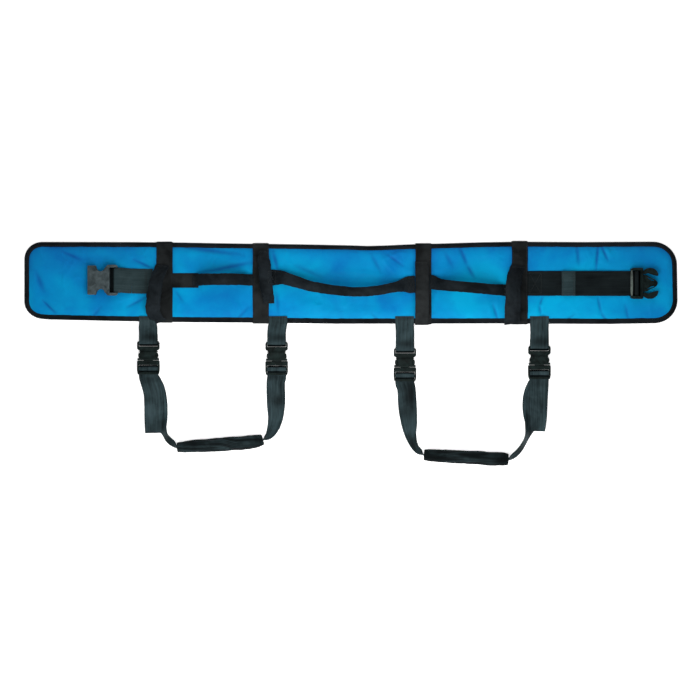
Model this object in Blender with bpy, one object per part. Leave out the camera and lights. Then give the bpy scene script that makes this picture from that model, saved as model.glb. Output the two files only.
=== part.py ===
"""Padded patient transfer belt with two leg loops and seven hand grips, laid flat.

+X runs along the belt, +Y towards its upper edge, +Z out of the face that carries the grips.
The origin is the centre of the flat back of the padded panel.  Lengths below are millimetres.
"""
import bpy
from math import cos, pi, radians, sin
from mathutils import Matrix, Vector

for leftover in list(bpy.data.objects):
    bpy.data.objects.remove(leftover, do_unlink=True)

MM = 0.001
GAP = 0.3

# ---- padded panel -------------------------------------------------------------------
PANEL_X0, PANEL_X1 = -650.0, 650.0
PANEL_HALF = 80.0
FOLD_L, FOLD_R = -428.0, 400.0
CORNER_L, CORNER_R = 35.0, 45.0
FACE_Z = 8.0
BINDING_W = 10.0
WEB_T = 0.7

# ---- webbing widths (half widths) ---------------------------------------------------
HALF_50 = 24.8
HALF_38 = 18.7
BAND_HALF = 16.0

LEG_WEB_Z = 5.7
LEG_HINGE_Y, LEG_HINGE_Z = -81.5, 6.6
GRIP_AXIS_Z = 12.0

part = bpy.data.collections.new("patient_transfer_belt")
bpy.context.scene.collection.children.link(part)
tools = bpy.data.collections.new("cutters")
bpy.context.scene.collection.children.link(tools)


def material(name, colour, rough, metal=0.0):
    mat = bpy.data.materials.new(name)
    mat.use_nodes = True
    shader = mat.node_tree.nodes["Principled BSDF"]
    shader.inputs["Base Color"].default_value = (*colour, 1.0)
    shader.inputs["Roughness"].default_value = rough
    shader.inputs["Metallic"].default_value = metal
    return mat


MATS = {
    "cover": material("coated_fabric_blue", (0.006, 0.24, 0.58), 0.5),
    "back": material("backing_fabric_black", (0.012, 0.014, 0.015), 0.85),
    "foam": material("foam_grey", (0.25, 0.25, 0.25), 0.95),
    "binding": material("binding_tape_black", (0.01, 0.011, 0.012), 0.8),
    "webbing": material("webbing_black", (0.02, 0.026, 0.027), 0.7),
    "grip": material("grip_fabric_black", (0.014, 0.017, 0.018), 0.8),
    "plastic": material("acetal_black", (0.022, 0.024, 0.024), 0.35),
}


def add(name, verts, faces, mat, pivot=(0, 0, 0), smooth=False, coll=None):
    """One closed mesh object; the vertices are in millimetres, its origin sits at pivot."""
    px, py, pz = pivot
    mesh = bpy.data.meshes.new(name)
    mesh.from_pydata([((x - px) * MM, (y - py) * MM, (z - pz) * MM) for x, y, z in verts], [], faces)
    mesh.validate()
    obj = bpy.data.objects.new(name, mesh)
    obj.location = (px * MM, py * MM, pz * MM)
    (coll or part).objects.link(obj)
    mesh.materials.append(MATS[mat])
    if smooth:
        mesh.shade_smooth()
        mesh.set_sharp_from_angle(angle=radians(40))
    bpy.context.view_layer.update()
    return obj


def loft(rings):
    """Vertices and faces of a stack of rings with the same point count, capped at both ends."""
    count = len(rings[0])
    verts = [p for ring in rings for p in ring]
    faces = [list(range(count))[::-1]]
    for level in range(len(rings) - 1):
        a = level * count
        for i in range(count):
            j = (i + 1) % count
            faces.append([a + i, a + j, a + count + j, a + count + i])
    last = (len(rings) - 1) * count
    faces.append([last + i for i in range(count)])
    return verts, faces


def prism(outline, z0, z1):
    return loft([[(x, y, z0) for x, y in outline], [(x, y, z1) for x, y in outline]])


def box(x0, x1, y0, y1, z0, z1):
    return prism([(x0, y0), (x1, y0), (x1, y1), (x0, y1)], z0, z1)


def place(shape, matrix):
    verts, faces = shape
    moved = [tuple(matrix @ Vector(v)) for v in verts]
    if matrix.determinant() < 0:
        faces = [f[::-1] for f in faces]
    return moved, faces


def boolean(target, shape, mode, pivot=(0, 0, 0)):
    """Cut or join a plain shape to a target and keep the result as its mesh."""
    cutter = add("tool_" + target.name, shape[0], shape[1], "plastic", pivot, coll=tools)
    cutter.hide_render = True
    cutter.display_type = "WIRE"
    mod = target.modifiers.new("shape", "BOOLEAN")
    mod.operation = mode
    mod.solver = "EXACT"
    mod.object = cutter
    bpy.context.view_layer.update()
    graph = bpy.context.evaluated_depsgraph_get()
    mesh = bpy.data.meshes.new_from_object(target.evaluated_get(graph), depsgraph=graph)
    target.modifiers.clear()
    target.data = mesh
    bpy.data.objects.remove(cutter, do_unlink=True)
    return target


# ---- the padded panel in three sections ---------------------------------------------
def arc(cx, cy, r, a0, a1, steps=8):
    return [(cx + r * cos(radians(a0 + (a1 - a0) * i / steps)),
             cy + r * sin(radians(a0 + (a1 - a0) * i / steps))) for i in range(steps + 1)]


def section_outline(x0, x1, inset, open_left, open_right, at_fold=GAP):
    """Outline of one section: outer edges move in by inset, a fold edge stays where it is."""
    left = x0 + (at_fold if open_left else inset)
    right = x1 - (at_fold if open_right else inset)
    top = PANEL_HALF - inset
    pts = []
    if open_right:
        pts += [(right, -top), (right, top)]
    else:
        r = CORNER_R - inset
        pts += arc(right - r, -top + r, r, -90, 0)
        pts += arc(right - r, top - r, r, 0, 90)
    if open_left:
        pts += [(left, top), (left, -top)]
    else:
        r = CORNER_L - inset
        pts += arc(left + r, top - r, r, 90, 180)
        pts += arc(left + r, -top + r, r, 180, 270)
    return pts


BINDING_PROFILE = [(0.6, 0.05), (BINDING_W, 0.05), (BINDING_W, 0.75), (1.2, 0.75), (1.2, 3.8),
                   (BINDING_W, 3.8), (BINDING_W, 4.6), (0.6, 4.6), (0.0, 4.0), (0.0, 0.65)]


def binding(name, x0, x1, open_left, open_right, pick, pivot):
    """U-shaped tape over the raw edge, swept along the outline points chosen by pick."""
    lines = [pick(section_outline(x0, x1, inset, open_left, open_right)) for inset, _ in BINDING_PROFILE]
    rings = []
    for i in range(len(lines[0])):
        rings.append([(lines[k][i][0], lines[k][i][1], z) for k, (_, z) in enumerate(BINDING_PROFILE)])
    verts, faces = loft(rings)
    return add(name, verts, faces, "binding", pivot)


def section(tag, x0, x1, open_left, open_right, pivot):
    profile = [(1.5, 1.05), (1.5, 3.45), (10.3, 3.5), (10.6, 5.0), (13.0, 7.3), (17.0, FACE_Z)]
    rings = []
    for inset, z in profile:
        rings.append([(x, y, z) for x, y in section_outline(x0, x1, inset, open_left, open_right)])
    verts, faces = loft(rings)
    cover = add("front_cover_" + tag, verts, faces, "cover", pivot, smooth=True)
    pocket = section_outline(x0, x1, 15.0, open_left, open_right, 1.5)
    boolean(cover, prism(pocket, 0.0, 7.2), "DIFFERENCE")
    core = section_outline(x0, x1, 15.3, open_left, open_right, 1.8)
    verts, faces = prism(core, 1.1, 6.9)
    add("foam_core_" + tag, verts, faces, "foam", pivot)
    back = section_outline(x0, x1, BINDING_W + GAP, open_left, open_right)
    verts, faces = prism(back, 0.0, 0.75)
    add("back_cover_" + tag, verts, faces, "back", pivot)


FLAP_Z = 8.4
PIVOT_L = (FOLD_L, 0, FLAP_Z)
PIVOT_R = (FOLD_R, 0, FLAP_Z)
section("left", PANEL_X0, FOLD_L, False, True, PIVOT_L)
section("middle", FOLD_L, FOLD_R, True, True, (0, 0, 0))
section("right", FOLD_R, PANEL_X1, True, False, PIVOT_R)
binding("binding_left", PANEL_X0, FOLD_L, False, True, lambda pts: pts[1:] + pts[:1], PIVOT_L)
binding("binding_middle_top", FOLD_L, FOLD_R, True, True, lambda pts: pts[1:3], (0, 0, 0))
binding("binding_middle_bottom", FOLD_L, FOLD_R, True, True, lambda pts: [pts[3], pts[0]], (0, 0, 0))
binding("binding_right", FOLD_R, PANEL_X1, True, False, lambda pts: pts[-1:] + pts[:-1], PIVOT_R)


# ---- swept webbing and tubes --------------------------------------------------------
def sweep(stations, corners="flat", inner=None):
    """Sweep a section along stations of (centre, width direction, half width, half thickness)."""
    if corners == "flat":
        ring = [(-1, -0.5), (-0.97, -1), (0.97, -1), (1, -0.5), (1, 0.5), (0.97, 1), (-0.97, 1), (-1, 0.5)]
    else:
        ring = [(cos(2 * pi * i / 16), sin(2 * pi * i / 16)) for i in range(16)]
    frames = []
    for i, (c, w, hw, ht) in enumerate(stations):
        here = Vector(c)
        back = Vector(stations[max(i - 1, 0)][0])
        ahead = Vector(stations[min(i + 1, len(stations) - 1)][0])
        d0 = (here - back).normalized()
        d1 = (ahead - here).normalized()
        run = (d0 + d1).normalized()
        across = Vector(w)
        across = (across - run * across.dot(run)).normalized()
        up = run.cross(across)
        frames.append((here, across, up, hw, ht))

    def rings(shrink):
        out = []
        for here, across, up, hw, ht in frames:
            a = hw if shrink is None else shrink[0]
            b = ht if shrink is None else shrink[1]
            out.append([tuple(here + across * (u * a) + up * (v * b)) for u, v in ring])
        return out

    if inner is None:
        verts, faces = loft(rings(None))
        if corners == "flat":
            faces = [f[1:] + f[:1] if len(f) == 4 and f[0] % 8 in (4, 5, 6) else f for f in faces]
        return verts, faces
    outside = rings(None)
    inside = rings(inner)
    count = len(ring)
    verts = [p for r in outside for p in r] + [p for r in inside for p in r]
    offset = count * len(outside)
    faces = []
    for level in range(len(outside) - 1):
        a = level * count
        for i in range(count):
            j = (i + 1) % count
            faces.append([a + i, a + j, a + count + j, a + count + i])
            faces.append([offset + a + j, offset + a + i, offset + a + count + i, offset + a + count + j])
    last = (len(outside) - 1) * count
    for i in range(count):
        j = (i + 1) % count
        faces.append([j, i, offset + i, offset + j])
        faces.append([last + i, last + j, offset + last + j, offset + last + i])
    return verts, faces


def faced_out(shape):
    """Turn every face over when the shape's signed volume says that they point inwards."""
    verts, faces = shape
    total = 0.0
    for f in faces:
        a = Vector(verts[f[0]])
        for k in range(1, len(f) - 1):
            total += a.dot(Vector(verts[f[k]]).cross(Vector(verts[f[k + 1]])))
    if total < 0:
        faces = [f[::-1] for f in faces]
    return verts, faces


def split_warped(shape):
    """Cut every four-sided face that is not flat into two triangles."""
    verts, faces = shape
    out = []
    for f in faces:
        if len(f) == 4:
            a, b, c, d = (Vector(verts[i]) for i in f)
            normal = (b - a).cross(c - a)
            if normal.length < 1e-9 or abs((d - a).dot(normal.normalized())) > 0.001:
                out += [[f[0], f[1], f[2]], [f[0], f[2], f[3]]]
                continue
        out.append(f)
    return verts, out


def ribbon(name, stations, mat, pivot=(0, 0, 0), corners="flat", inner=None):
    verts, faces = split_warped(faced_out(sweep(stations, corners, inner)))
    return add(name, verts, faces, mat, pivot, smooth=True)


# four webbing bands sewn across the panel
BAND_PATH = [(79.6, 5.75), (70.7, 5.85), (67.9, 8.35), (63.3, 9.2), (-63.3, 9.2), (-67.9, 8.35),
             (-70.7, 5.85), (-79.6, 5.75)]
BANDS = [("band_1", -373.4), ("band_2", -180.6), ("band_3", 144.6), ("band_4", 337.6)]
for name, x in BANDS:
    ribbon(name, [((x, y, z), (1, 0, 0), BAND_HALF, WEB_T) for y, z in BAND_PATH], "webbing")

# ---- hand grips: padded tubes that stand clear of the panel between their tacks -------
AXIS_X = (1, 0, 0)
AXIS_Y = (0, 1, 0)
GRIPS = {
    "grip_h1": (AXIS_Y, (-257, 3, GRIP_AXIS_Z), [
        (-314, 2.6, 12.0, 4.0, 1.0), (-308, 2.8, 17.0, 8.0, 3.0), (-297, 3.4, 26.0, 11.3, 5.5),
        (-280, 3.5, 33.0, 11.5, 7.5), (-257, 3.5, 36.0, 11.5, 7.5), (-235, 3.5, 33.0, 11.5, 7.5),
        (-218, 3.5, 26.0, 11.5, 5.5), (-207, 3.0, 17.0, 8.0, 3.0), (-201, 3.0, 12.0, 4.0, 1.0)]),
    "grip_h2": (AXIS_Y, (-20, 1, GRIP_AXIS_Z), [
        (-144, 8.0, 12.0, 4.0, 1.0), (-136, 6.5, 15.5, 9.0, 4.0), (-114, 0.5, 23.0, 12.5, 7.0),
        (-82, -9.4, 30.0, 10.5, 8.0), (-35, -18.0, 35.0, 9.6, 8.0), (13.6, -21.8, 35.0, 9.2, 8.0),
        (60, -17.5, 30.0, 9.6, 8.0), (86, -13.0, 22.5, 10.0, 6.5), (98, -9.0, 16.0, 8.5, 4.0),
        (105, -7.0, 12.0, 4.0, 1.0)]),
    "grip_h3": (AXIS_Y, (238, -8, GRIP_AXIS_Z), [
        (167, -3.0, 12.0, 4.0, 1.0), (174, -5.5, 17.0, 8.0, 3.5), (188, -8.0, 26.0, 10.5, 6.0),
        (210, -10.5, 32.0, 10.5, 7.5), (238, -12.8, 34.0, 10.5, 7.5), (264, -15.0, 31.0, 10.5, 7.5),
        (284, -16.6, 25.0, 10.5, 6.0), (297, -16.5, 16.5, 8.0, 3.0), (303, -16.0, 12.0, 4.0, 1.0)]),
    "grip_v1": (AXIS_X, (-384, -20, GRIP_AXIS_Z), [
        (-386, 36, 12.0, 4.0, 1.0), (-387.5, 30, 17.0, 6.5, 3.0), (-389.5, 18, 27.0, 9.5, 5.5),
        (-391.5, -4, 34.0, 11.0, 6.5), (-391.5, -28, 36.0, 11.0, 6.5), (-391.5, -48, 32.0, 11.0, 6.5),
        (-389.5, -64, 23.0, 10.0, 5.0), (-386, -73, 15.5, 7.0, 2.5), (-382, -77.6, 12.0, 4.0, 1.0)]),
    "grip_v2": (AXIS_X, (-173, 9, GRIP_AXIS_Z), [
        (-174, 56, 12.0, 4.0, 1.0), (-174, 51, 17.0, 7.0, 3.5), (-173, 41, 25.0, 9.0, 6.5),
        (-171, 26, 31.0, 10.0, 8.0), (-169.5, 9, 33.0, 10.5, 8.0), (-168.8, -8, 31.0, 10.5, 8.0),
        (-169.8, -22, 25.0, 10.0, 6.5), (-171.5, -32, 17.0, 7.0, 3.5), (-172.5, -37, 12.0, 4.0, 1.0)]),
    "grip_v3": (AXIS_X, (141, -20, GRIP_AXIS_Z), [
        (141.3, 38, 12.0, 4.0, 1.0), (141.3, 32, 17.0, 8.0, 2.5), (141.3, 20, 27.0, 12.0, 4.0),
        (141.3, -2, 34.0, 13.0, 4.5), (141.3, -24, 36.0, 13.0, 4.5), (141.3, -48, 32.0, 13.0, 4.5),
        (141.3, -64, 23.0, 12.0, 4.0), (141.3, -73, 15.5, 8.0, 2.5), (141.3, -77.6, 12.0, 4.0, 1.0)]),
    "grip_v4": (AXIS_X, (326, -20, GRIP_AXIS_Z), [
        (327, 33, 12.0, 4.0, 1.0), (326.5, 27, 17.0, 7.0, 2.5), (324.5, 17, 26.0, 10.5, 4.0),
        (321.5, -3, 33.0, 14.0, 4.5), (321.5, -26, 35.0, 14.5, 4.5), (322.0, -48, 31.0, 14.5, 4.5),
        (324.0, -64, 23.0, 12.0, 4.0), (327, -73, 15.5, 8.0, 2.5), (330, -77.6, 12.0, 4.0, 1.0)]),
}
for name, (across, pivot, rows) in GRIPS.items():
    ribbon(name, [((x, y, z), across, hw, ht) for x, y, z, hw, ht in rows], "grip", pivot, "round")


# ---- side-release buckles -----------------------------------------------------------
# Local frame: u across, v along from the female bar to the male outer bar, z up.
BUCKLE_38 = {
    "female_half": [(0.0, 18.3), (0.8, 20.4), (2.4, 21.8), (4.6, 22.3), (15.0, 22.3), (16.6, 21.6),
                    (17.8, 19.8), (18.8, 17.8), (20.3, 17.2)],
    "bite": (27.4, 21.6, 7.0), "mouth": (38.5, 21.6), "base_front": 38.9, "end": 67.0,
    "base_half": [(0.0, 20.2), (0.7, 21.8), (2.2, 22.5), (20.5, 22.5), (25.5, 21.6), (28.1, 20.4)],
    "bar": (0.5, 4.5), "slot_end": 10.5, "web": 19.2, "z": (0.4, 10.6), "tongue_tip": 21.0,
    "bars": (5.0, 9.7, 14.2, 18.9), "cavity": (19.4, 21.3, 15.2, 20.4),
    "prong": [(14.9, 37.4), (17.2, 34.6), (19.5, 32.6), (20.1, 30.0), (20.0, 27.0), (19.0, 24.2),
              (16.6, 22.4), (13.6, 20.8), (11.0, 20.2), (10.2, 21.2), (11.0, 22.4), (12.9, 23.9),
              (14.2, 26.2), (14.4, 29.0), (13.6, 31.6), (11.9, 34.0), (10.9, 36.4), (11.2, 37.6),
              (12.1, 38.4), (13.3, 38.5), (14.3, 38.1)], "root": (12.9, 36.6),
}
BUCKLE_50 = {
    "female_half": [(0.0, 25.8), (1.0, 28.4), (3.0, 30.0), (5.5, 30.5), (18.5, 30.5), (20.8, 29.6),
                    (22.6, 27.4), (24.2, 25.2), (26.0, 24.4)],
    "bite": (33.8, 26.6, 9.0), "mouth": (59.8, 29.0), "base_front": 60.3, "end": 85.3,
    "base_half": [(0.0, 28.2), (0.8, 30.2), (2.6, 31.0), (18.0, 31.0), (22.5, 30.0), (25.0, 28.6)],
    "bar": (0.8, 6.6), "slot_end": 16.0, "web": 25.3, "z": (0.4, 12.8), "tongue_tip": 34.8,
    "bars": (5.4, 10.2, 14.6, 19.2), "cavity": (27.0, 29.5, 19.0, 27.2),
    "prong": [(25.6, 58.9), (28.6, 55.4), (30.4, 51.0), (30.8, 46.0), (30.2, 41.0), (28.0, 36.6),
              (24.0, 32.6), (19.4, 30.4), (15.6, 30.0), (14.8, 31.6), (15.2, 34.2), (16.2, 37.6),
              (17.4, 41.5), (18.8, 45.0), (20.0, 48.5), (20.2, 51.8), (18.9, 55.2), (18.4, 57.6),
              (19.6, 59.1), (22.0, 59.8), (24.4, 59.6)], "root": (23.1, 57.4),
}


def mirrored(half):
    return [(u, v) for v, u in half] + [(-u, v) for v, u in reversed(half)]


def rounded(outline, z0, z1, r):
    """A prism with chamfered rims: every ring is the outline pulled in a little."""
    def pull(d):
        out = []
        n = len(outline)
        for i in range(n):
            ax, ay = outline[i - 1]
            bx, by = outline[i]
            cx, cy = outline[(i + 1) % n]
            e0 = Vector((bx - ax, by - ay)).normalized()
            e1 = Vector((cx - bx, cy - by)).normalized()
            n0 = Vector((-e0.y, e0.x))
            n1 = Vector((-e1.y, e1.x))
            half = n0 + n1
            if half.length < 0.2:
                half = n0.copy()
            half.normalize()
            scale = 1.0 / max(half.dot(n0), 0.5)
            out.append((bx + half.x * d * scale, by + half.y * d * scale))
        return out
    area = sum(outline[i - 1][0] * outline[i][1] - outline[i][0] * outline[i - 1][1] for i in range(len(outline)))
    sign = 1.0 if area > 0 else -1.0
    levels = [(z0, r), (z0 + 0.35 * r, 0.3 * r), (z0 + r, 0.0), (z1 - r, 0.0), (z1 - 0.35 * r, 0.3 * r), (z1, r)]
    rings = []
    for z, d in levels:
        rings.append([(x, y, z) for x, y in pull(d * sign)])
    return faced_out(loft(rings))


def body(name, shape, m, pivot, mat="plastic"):
    verts, faces = faced_out(place(shape, m))
    return add(name, verts, faces, mat, pivot, smooth=True)


def cut(obj, shape, m, mode="DIFFERENCE"):
    boolean(obj, faced_out(place(shape, m)), mode)


def female(name, p, m, pivot):
    vc, uc, r = p["bite"]
    half = list(p["female_half"])
    start = p["female_half"][-1][0]
    steps = 12
    a0 = pi - 0.12
    for i in range(steps + 1):
        a = a0 - (a0 - 0.12) * i / steps
        point = (vc + r * cos(a), uc - r * sin(a))
        if point[0] > start + 0.3:
            half.append(point)
    vm, um = p["mouth"]
    half += [(vc + r + 1.0, um), (vm - 1.2, um), (vm, um - 1.0)]
    z0, z1 = p["z"]
    obj = body(name, rounded(mirrored(half), z0, z1, 1.5), m, pivot)
    web = p["web"]
    cut(obj, box(-web, web, -5, p["slot_end"], z0 - 1, z1 + 1), m)
    b0, b1 = p["bar"]
    cut(obj, rounded([(-web - 0.8, b0), (web + 0.8, b0), (web + 0.8, b1), (-web - 0.8, b1)], 3.4, 7.6, 0.8), m, "UNION")
    v0, v1, u0, u1 = p["cavity"]
    cut(obj, box(-u0, u0, v0, vm + 5, z0 + 2.0, z1 - 2.0), m)
    cut(obj, box(-u1, u1, v1, vm + 5, z0 + 2.0, z1 - 2.0), m)
    for v in (vm - 5.0, vm - 2.8):
        cut(obj, box(-u0 * 0.6, u0 * 0.6, v - 0.5, v + 0.5, z1 - 0.5, z1 + 1), m)
    finish(obj)
    return obj


def male(name, p, m, pivot, guide=False):
    front, end = p["base_front"], p["end"]
    half = [(front + v, u) for v, u in p["base_half"]]
    z0, z1 = p["z"]
    obj = body(name, rounded(mirrored(half), z0, z1 - 1.0, 1.2), m, pivot)
    web = p["web"] + 0.3
    b = p["bars"]
    cut(obj, box(-web, web, end - b[3], end + 3, z0 - 1, z1 + 1), m)
    middle = [(-web - 0.8, end - b[2]), (web + 0.8, end - b[2]), (web + 0.8, end - b[1]), (-web - 0.8, end - b[1])]
    cut(obj, rounded(middle, 4.8, 8.0, 0.6), m, "UNION")
    outer = [(-web - 0.8, end - 3.9), (-web * 0.5, end - 4.7), (web * 0.5, end - 4.7), (web + 0.8, end - 3.9),
             (web + 0.8, end - 1.1), (web * 0.5, end - 0.1), (-web * 0.5, end - 0.1), (-web - 0.8, end - 1.1)]
    cut(obj, rounded(outer, 4.8, 8.4, 0.6), m, "UNION")
    tip = p["tongue_tip"]
    tongue = [(-3.6, front + 2.5), (-2.6, tip + 1.5), (-1.4, tip), (1.4, tip), (2.6, tip + 1.5), (3.6, front + 2.5)]
    mid = 0.5 * (z0 + z1)
    rib = 2.4 if guide else 1.9
    cut(obj, rounded(tongue, mid - rib, mid + rib, 0.5), m, "UNION")
    if not guide:
        # a short lip between the prong roots closes the socket's mouth
        lip = [(-9.4, front - 2.6), (9.4, front - 2.6), (9.4, front + 2.5), (-9.4, front + 2.5)]
        cut(obj, rounded(lip, mid - 1.7, mid + 1.7, 0.5), m, "UNION")
    if guide:
        # the wide guide runs out of the base between the prongs, with a curved window on each side
        wedge = [(tip - 3.4, 1.4), (tip - 2.4, 3.7), (tip - 0.4, 5.9), (tip + 2.6, 7.8), (tip + 6.7, 9.8),
                 (tip + 11.9, 12.3), (tip + 15.7, 14.3), (tip + 18.7, 15.8), (tip + 21.7, 16.6), (front + 2.5, 16.8)]
        cut(obj, rounded(mirrored(wedge), mid - 1.9, mid + 1.9, 0.5), m, "UNION")
        for side in (-1, 1):
            window = [(side * 5.0, tip + 2.8), (side * 6.2, tip + 3.4), (side * 8.2, tip + 7.6), (side * 10.4, tip + 12.4),
                      (side * 12.3, tip + 16.6), (side * 11.0, tip + 16.9), (side * 8.2, tip + 13.6), (side * 5.4, tip + 9.0)]
            cut(obj, prism(window, mid - 4.0, mid + 4.0), m)
    for v in (front + 2.6, front + 4.8):
        cut(obj, box(-web * 0.55, web * 0.55, v - 0.45, v + 0.45, z1 - 1.5, z1), m)
    finish(obj)
    return obj


def prong(name, p, m, side):
    z0, z1 = p["z"]
    outline = [(side * u, v) for u, v in p["prong"]]
    u, v = p["root"]
    root = m @ Vector((side * u, v, 0.5 * (z0 + z1)))
    return body(name, rounded(outline, z0 + 2.5, z1 - 2.5, 0.7), m, tuple(root))


def finish(obj):
    obj.data.materials.clear()
    obj.data.materials.append(MATS["plastic"])
    obj.data.shade_smooth()
    obj.data.set_sharp_from_angle(angle=radians(30))


def leg_frame(x, y_top):
    """Buckle frame for a leg loop: v runs down the loop, away from the panel."""
    return Matrix(((1, 0, 0, x), (0, -1, 0, y_top), (0, 0, 1, 0), (0, 0, 0, 1)))


def waist_frame(x, y, z):
    """Buckle frame on the panel: v runs towards -X."""
    return Matrix(((0, -1, 0, x), (1, 0, 0, y), (0, 0, 1, z), (0, 0, 0, 1)))


def male_loop(p, m, tail):
    """Centre line of the webbing through the two slots: under, up, over the middle bar, down."""
    end = p["end"]
    b = p["bars"]
    inner = end - 0.5 * (b[2] + b[3])
    outer = end - 0.5 * (b[0] + b[1]) - 0.2
    m0, m1 = end - b[2], end - b[1]
    path = [(end + 5, 1.4), (m1, 1.4), (inner + 1.2, 1.5), (inner + 0.3, 2.2), (inner, 3.6), (inner, 7.6),
            (inner + 0.5, 8.7), (m0 + 0.8, 9.1), (m1 - 0.4, 9.1), (outer - 0.6, 8.6), (outer, 7.4),
            (outer + 0.1, 5.4), (outer + 0.8, 4.1), (end - 4.2, 3.5), (end + tail, 3.4)]
    return [m @ Vector((0, v, z)) for v, z in path]


def female_loop(p, m, tail):
    """Centre line over the bar, down through the slot and back underneath it."""
    b0, b1 = p["bar"]
    top, low = 7.6 + GAP + WEB_T, 3.4 - GAP - WEB_T
    turn = p["slot_end"] - 1.6
    reach = turn - b1
    path = [(b0, top), (b1 - 0.4, top), (b1 + 0.45 * reach, top - 0.5), (turn - 0.5, 7.1), (turn, 5.4),
            (turn - 0.6, 3.7), (b1 + 0.5 * reach, low + 0.1), (b1 - 0.4, low), (b0, low), (-tail, low + 0.3)]
    return [m @ Vector((0, v, z)) for v, z in path]


# ---- waist closure ------------------------------------------------------------------
STRAP_Z = 9.2
waist_l = waist_frame(-465.6, 2.4, 7.9)
ribbon("waist_stub_left", [((-406.0, 0.6, STRAP_Z), AXIS_Y, HALF_50, WEB_T),
                           ((-415.0, 0.6, STRAP_Z), AXIS_Y, HALF_50, WEB_T),
                           ((FOLD_L + 2.0, 0.6, STRAP_Z), AXIS_Y, HALF_50, WEB_T)], "webbing")
WL = (FOLD_L - 2.0, 0, STRAP_Z)
line = [Vector((FOLD_L - 2.0, 0.6, STRAP_Z)), Vector((-438, 0.9, STRAP_Z)), Vector((-446, 1.4, 9.6)),
        Vector((-455, 2.0, 12.4)), Vector((-461.0, 2.4, 15.6))]
line += female_loop(BUCKLE_50, waist_l, 3.5)
ribbon("waist_strap_left", [(tuple(v), AXIS_Y, HALF_50, WEB_T) for v in line], "webbing", WL)
female("waist_buckle_female", BUCKLE_50, waist_l, WL)

WR = (FOLD_R + 2.0, 0, STRAP_Z)
waist_r = waist_frame(558.0 + BUCKLE_50["end"], -4.0, 7.9)
ribbon("waist_stub_right", [((354.4, -3.8, STRAP_Z), AXIS_Y, HALF_50, WEB_T),
                            ((375.0, -3.8, STRAP_Z), AXIS_Y, HALF_50, WEB_T),
                            ((FOLD_R - 2.0, -3.8, STRAP_Z), AXIS_Y, HALF_50, WEB_T)], "webbing")
line = [Vector((FOLD_R + 2.0, -3.8, STRAP_Z)), Vector((480, -3.9, STRAP_Z))]
line += male_loop(BUCKLE_50, waist_r, 12.0)
line += [Vector((500, -4.0, 11.3)), Vector((448, -4.0, 11.2)), Vector((419, -4.0, 11.2))]
ribbon("waist_strap_right", [(tuple(v), AXIS_Y, HALF_50, WEB_T) for v in line], "webbing", WR)
male("waist_buckle_male", BUCKLE_50, waist_r, WR, guide=True)
prong("waist_prong_upper", BUCKLE_50, waist_r, 1)
prong("waist_prong_lower", BUCKLE_50, waist_r, -1)

# ---- leg loops ----------------------------------------------------------------------
LEG_BUCKLES = {1: (-405.6, -119.0), 2: (-148.8, -120.2), 3: (108.0, -132.8), 4: (377.0, -128.2)}
TABS = {1: (-407.2, 16.2), 2: (-146.0, 18.0), 3: (107.2, 18.6), 4: (377.0, 18.7)}
frames = {}
for number, (x, y) in LEG_BUCKLES.items():
    side = "left" if number < 3 else "right"
    m = leg_frame(x, y)
    frames[number] = m
    centre = -277.0 if number < 3 else 242.0
    hinge = (centre, LEG_HINGE_Y, LEG_HINGE_Z)
    tab_x, tab_half = TABS[number]
    ribbon("leg_tab_%d" % number, [((tab_x, -71.0, LEG_WEB_Z), AXIS_X, tab_half, WEB_T),
                                   ((tab_x, -76.0, LEG_WEB_Z), AXIS_X, tab_half, WEB_T),
                                   ((tab_x, -81.0, LEG_WEB_Z), AXIS_X, tab_half, WEB_T)], "webbing")
    line = [Vector((x, -82.0, LEG_WEB_Z)), Vector((x, -88.0, LEG_WEB_Z + 0.2)),
            Vector((x, -102.0, 7.4)), Vector((x, y + 4.0, 8.5))]
    line += female_loop(BUCKLE_38, m, 14.0)
    ribbon("leg_hanger_%d" % number, [(tuple(v), AXIS_X, HALF_38, WEB_T) for v in line], "webbing", hinge)
    female("leg_buckle_female_%d" % number, BUCKLE_38, m, hinge)
    male("leg_buckle_male_%d" % number, BUCKLE_38, m, hinge)
    prong("leg_prong_%da" % number, BUCKLE_38, m, 1)
    prong("leg_prong_%db" % number, BUCKLE_38, m, -1)


def loop_strap(name, first, second, head, tail_rows, sleeve_rows, foot, end_tail, pivot, turn):
    """One strap: free tail, through a ladder lock, down and round through the sleeve, up again."""
    stations = [((x, y, z), (1, 0, 0), hw, WEB_T) for x, y, z, hw in tail_rows]
    loop = male_loop(BUCKLE_38, frames[first], 4.0)
    stations += [(tuple(v), AXIS_X, HALF_38, WEB_T) for v in reversed(loop)]
    stations += head
    stations += [((x, y, z), (0, 0.2 * turn, turn), 7.0, 1.5) for x, y, z in sleeve_rows]
    stations += foot
    loop = male_loop(BUCKLE_38, frames[second], end_tail)
    stations += [(tuple(v), AXIS_X, HALF_38, WEB_T) for v in loop]
    return ribbon(name, stations, "webbing", pivot)


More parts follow.
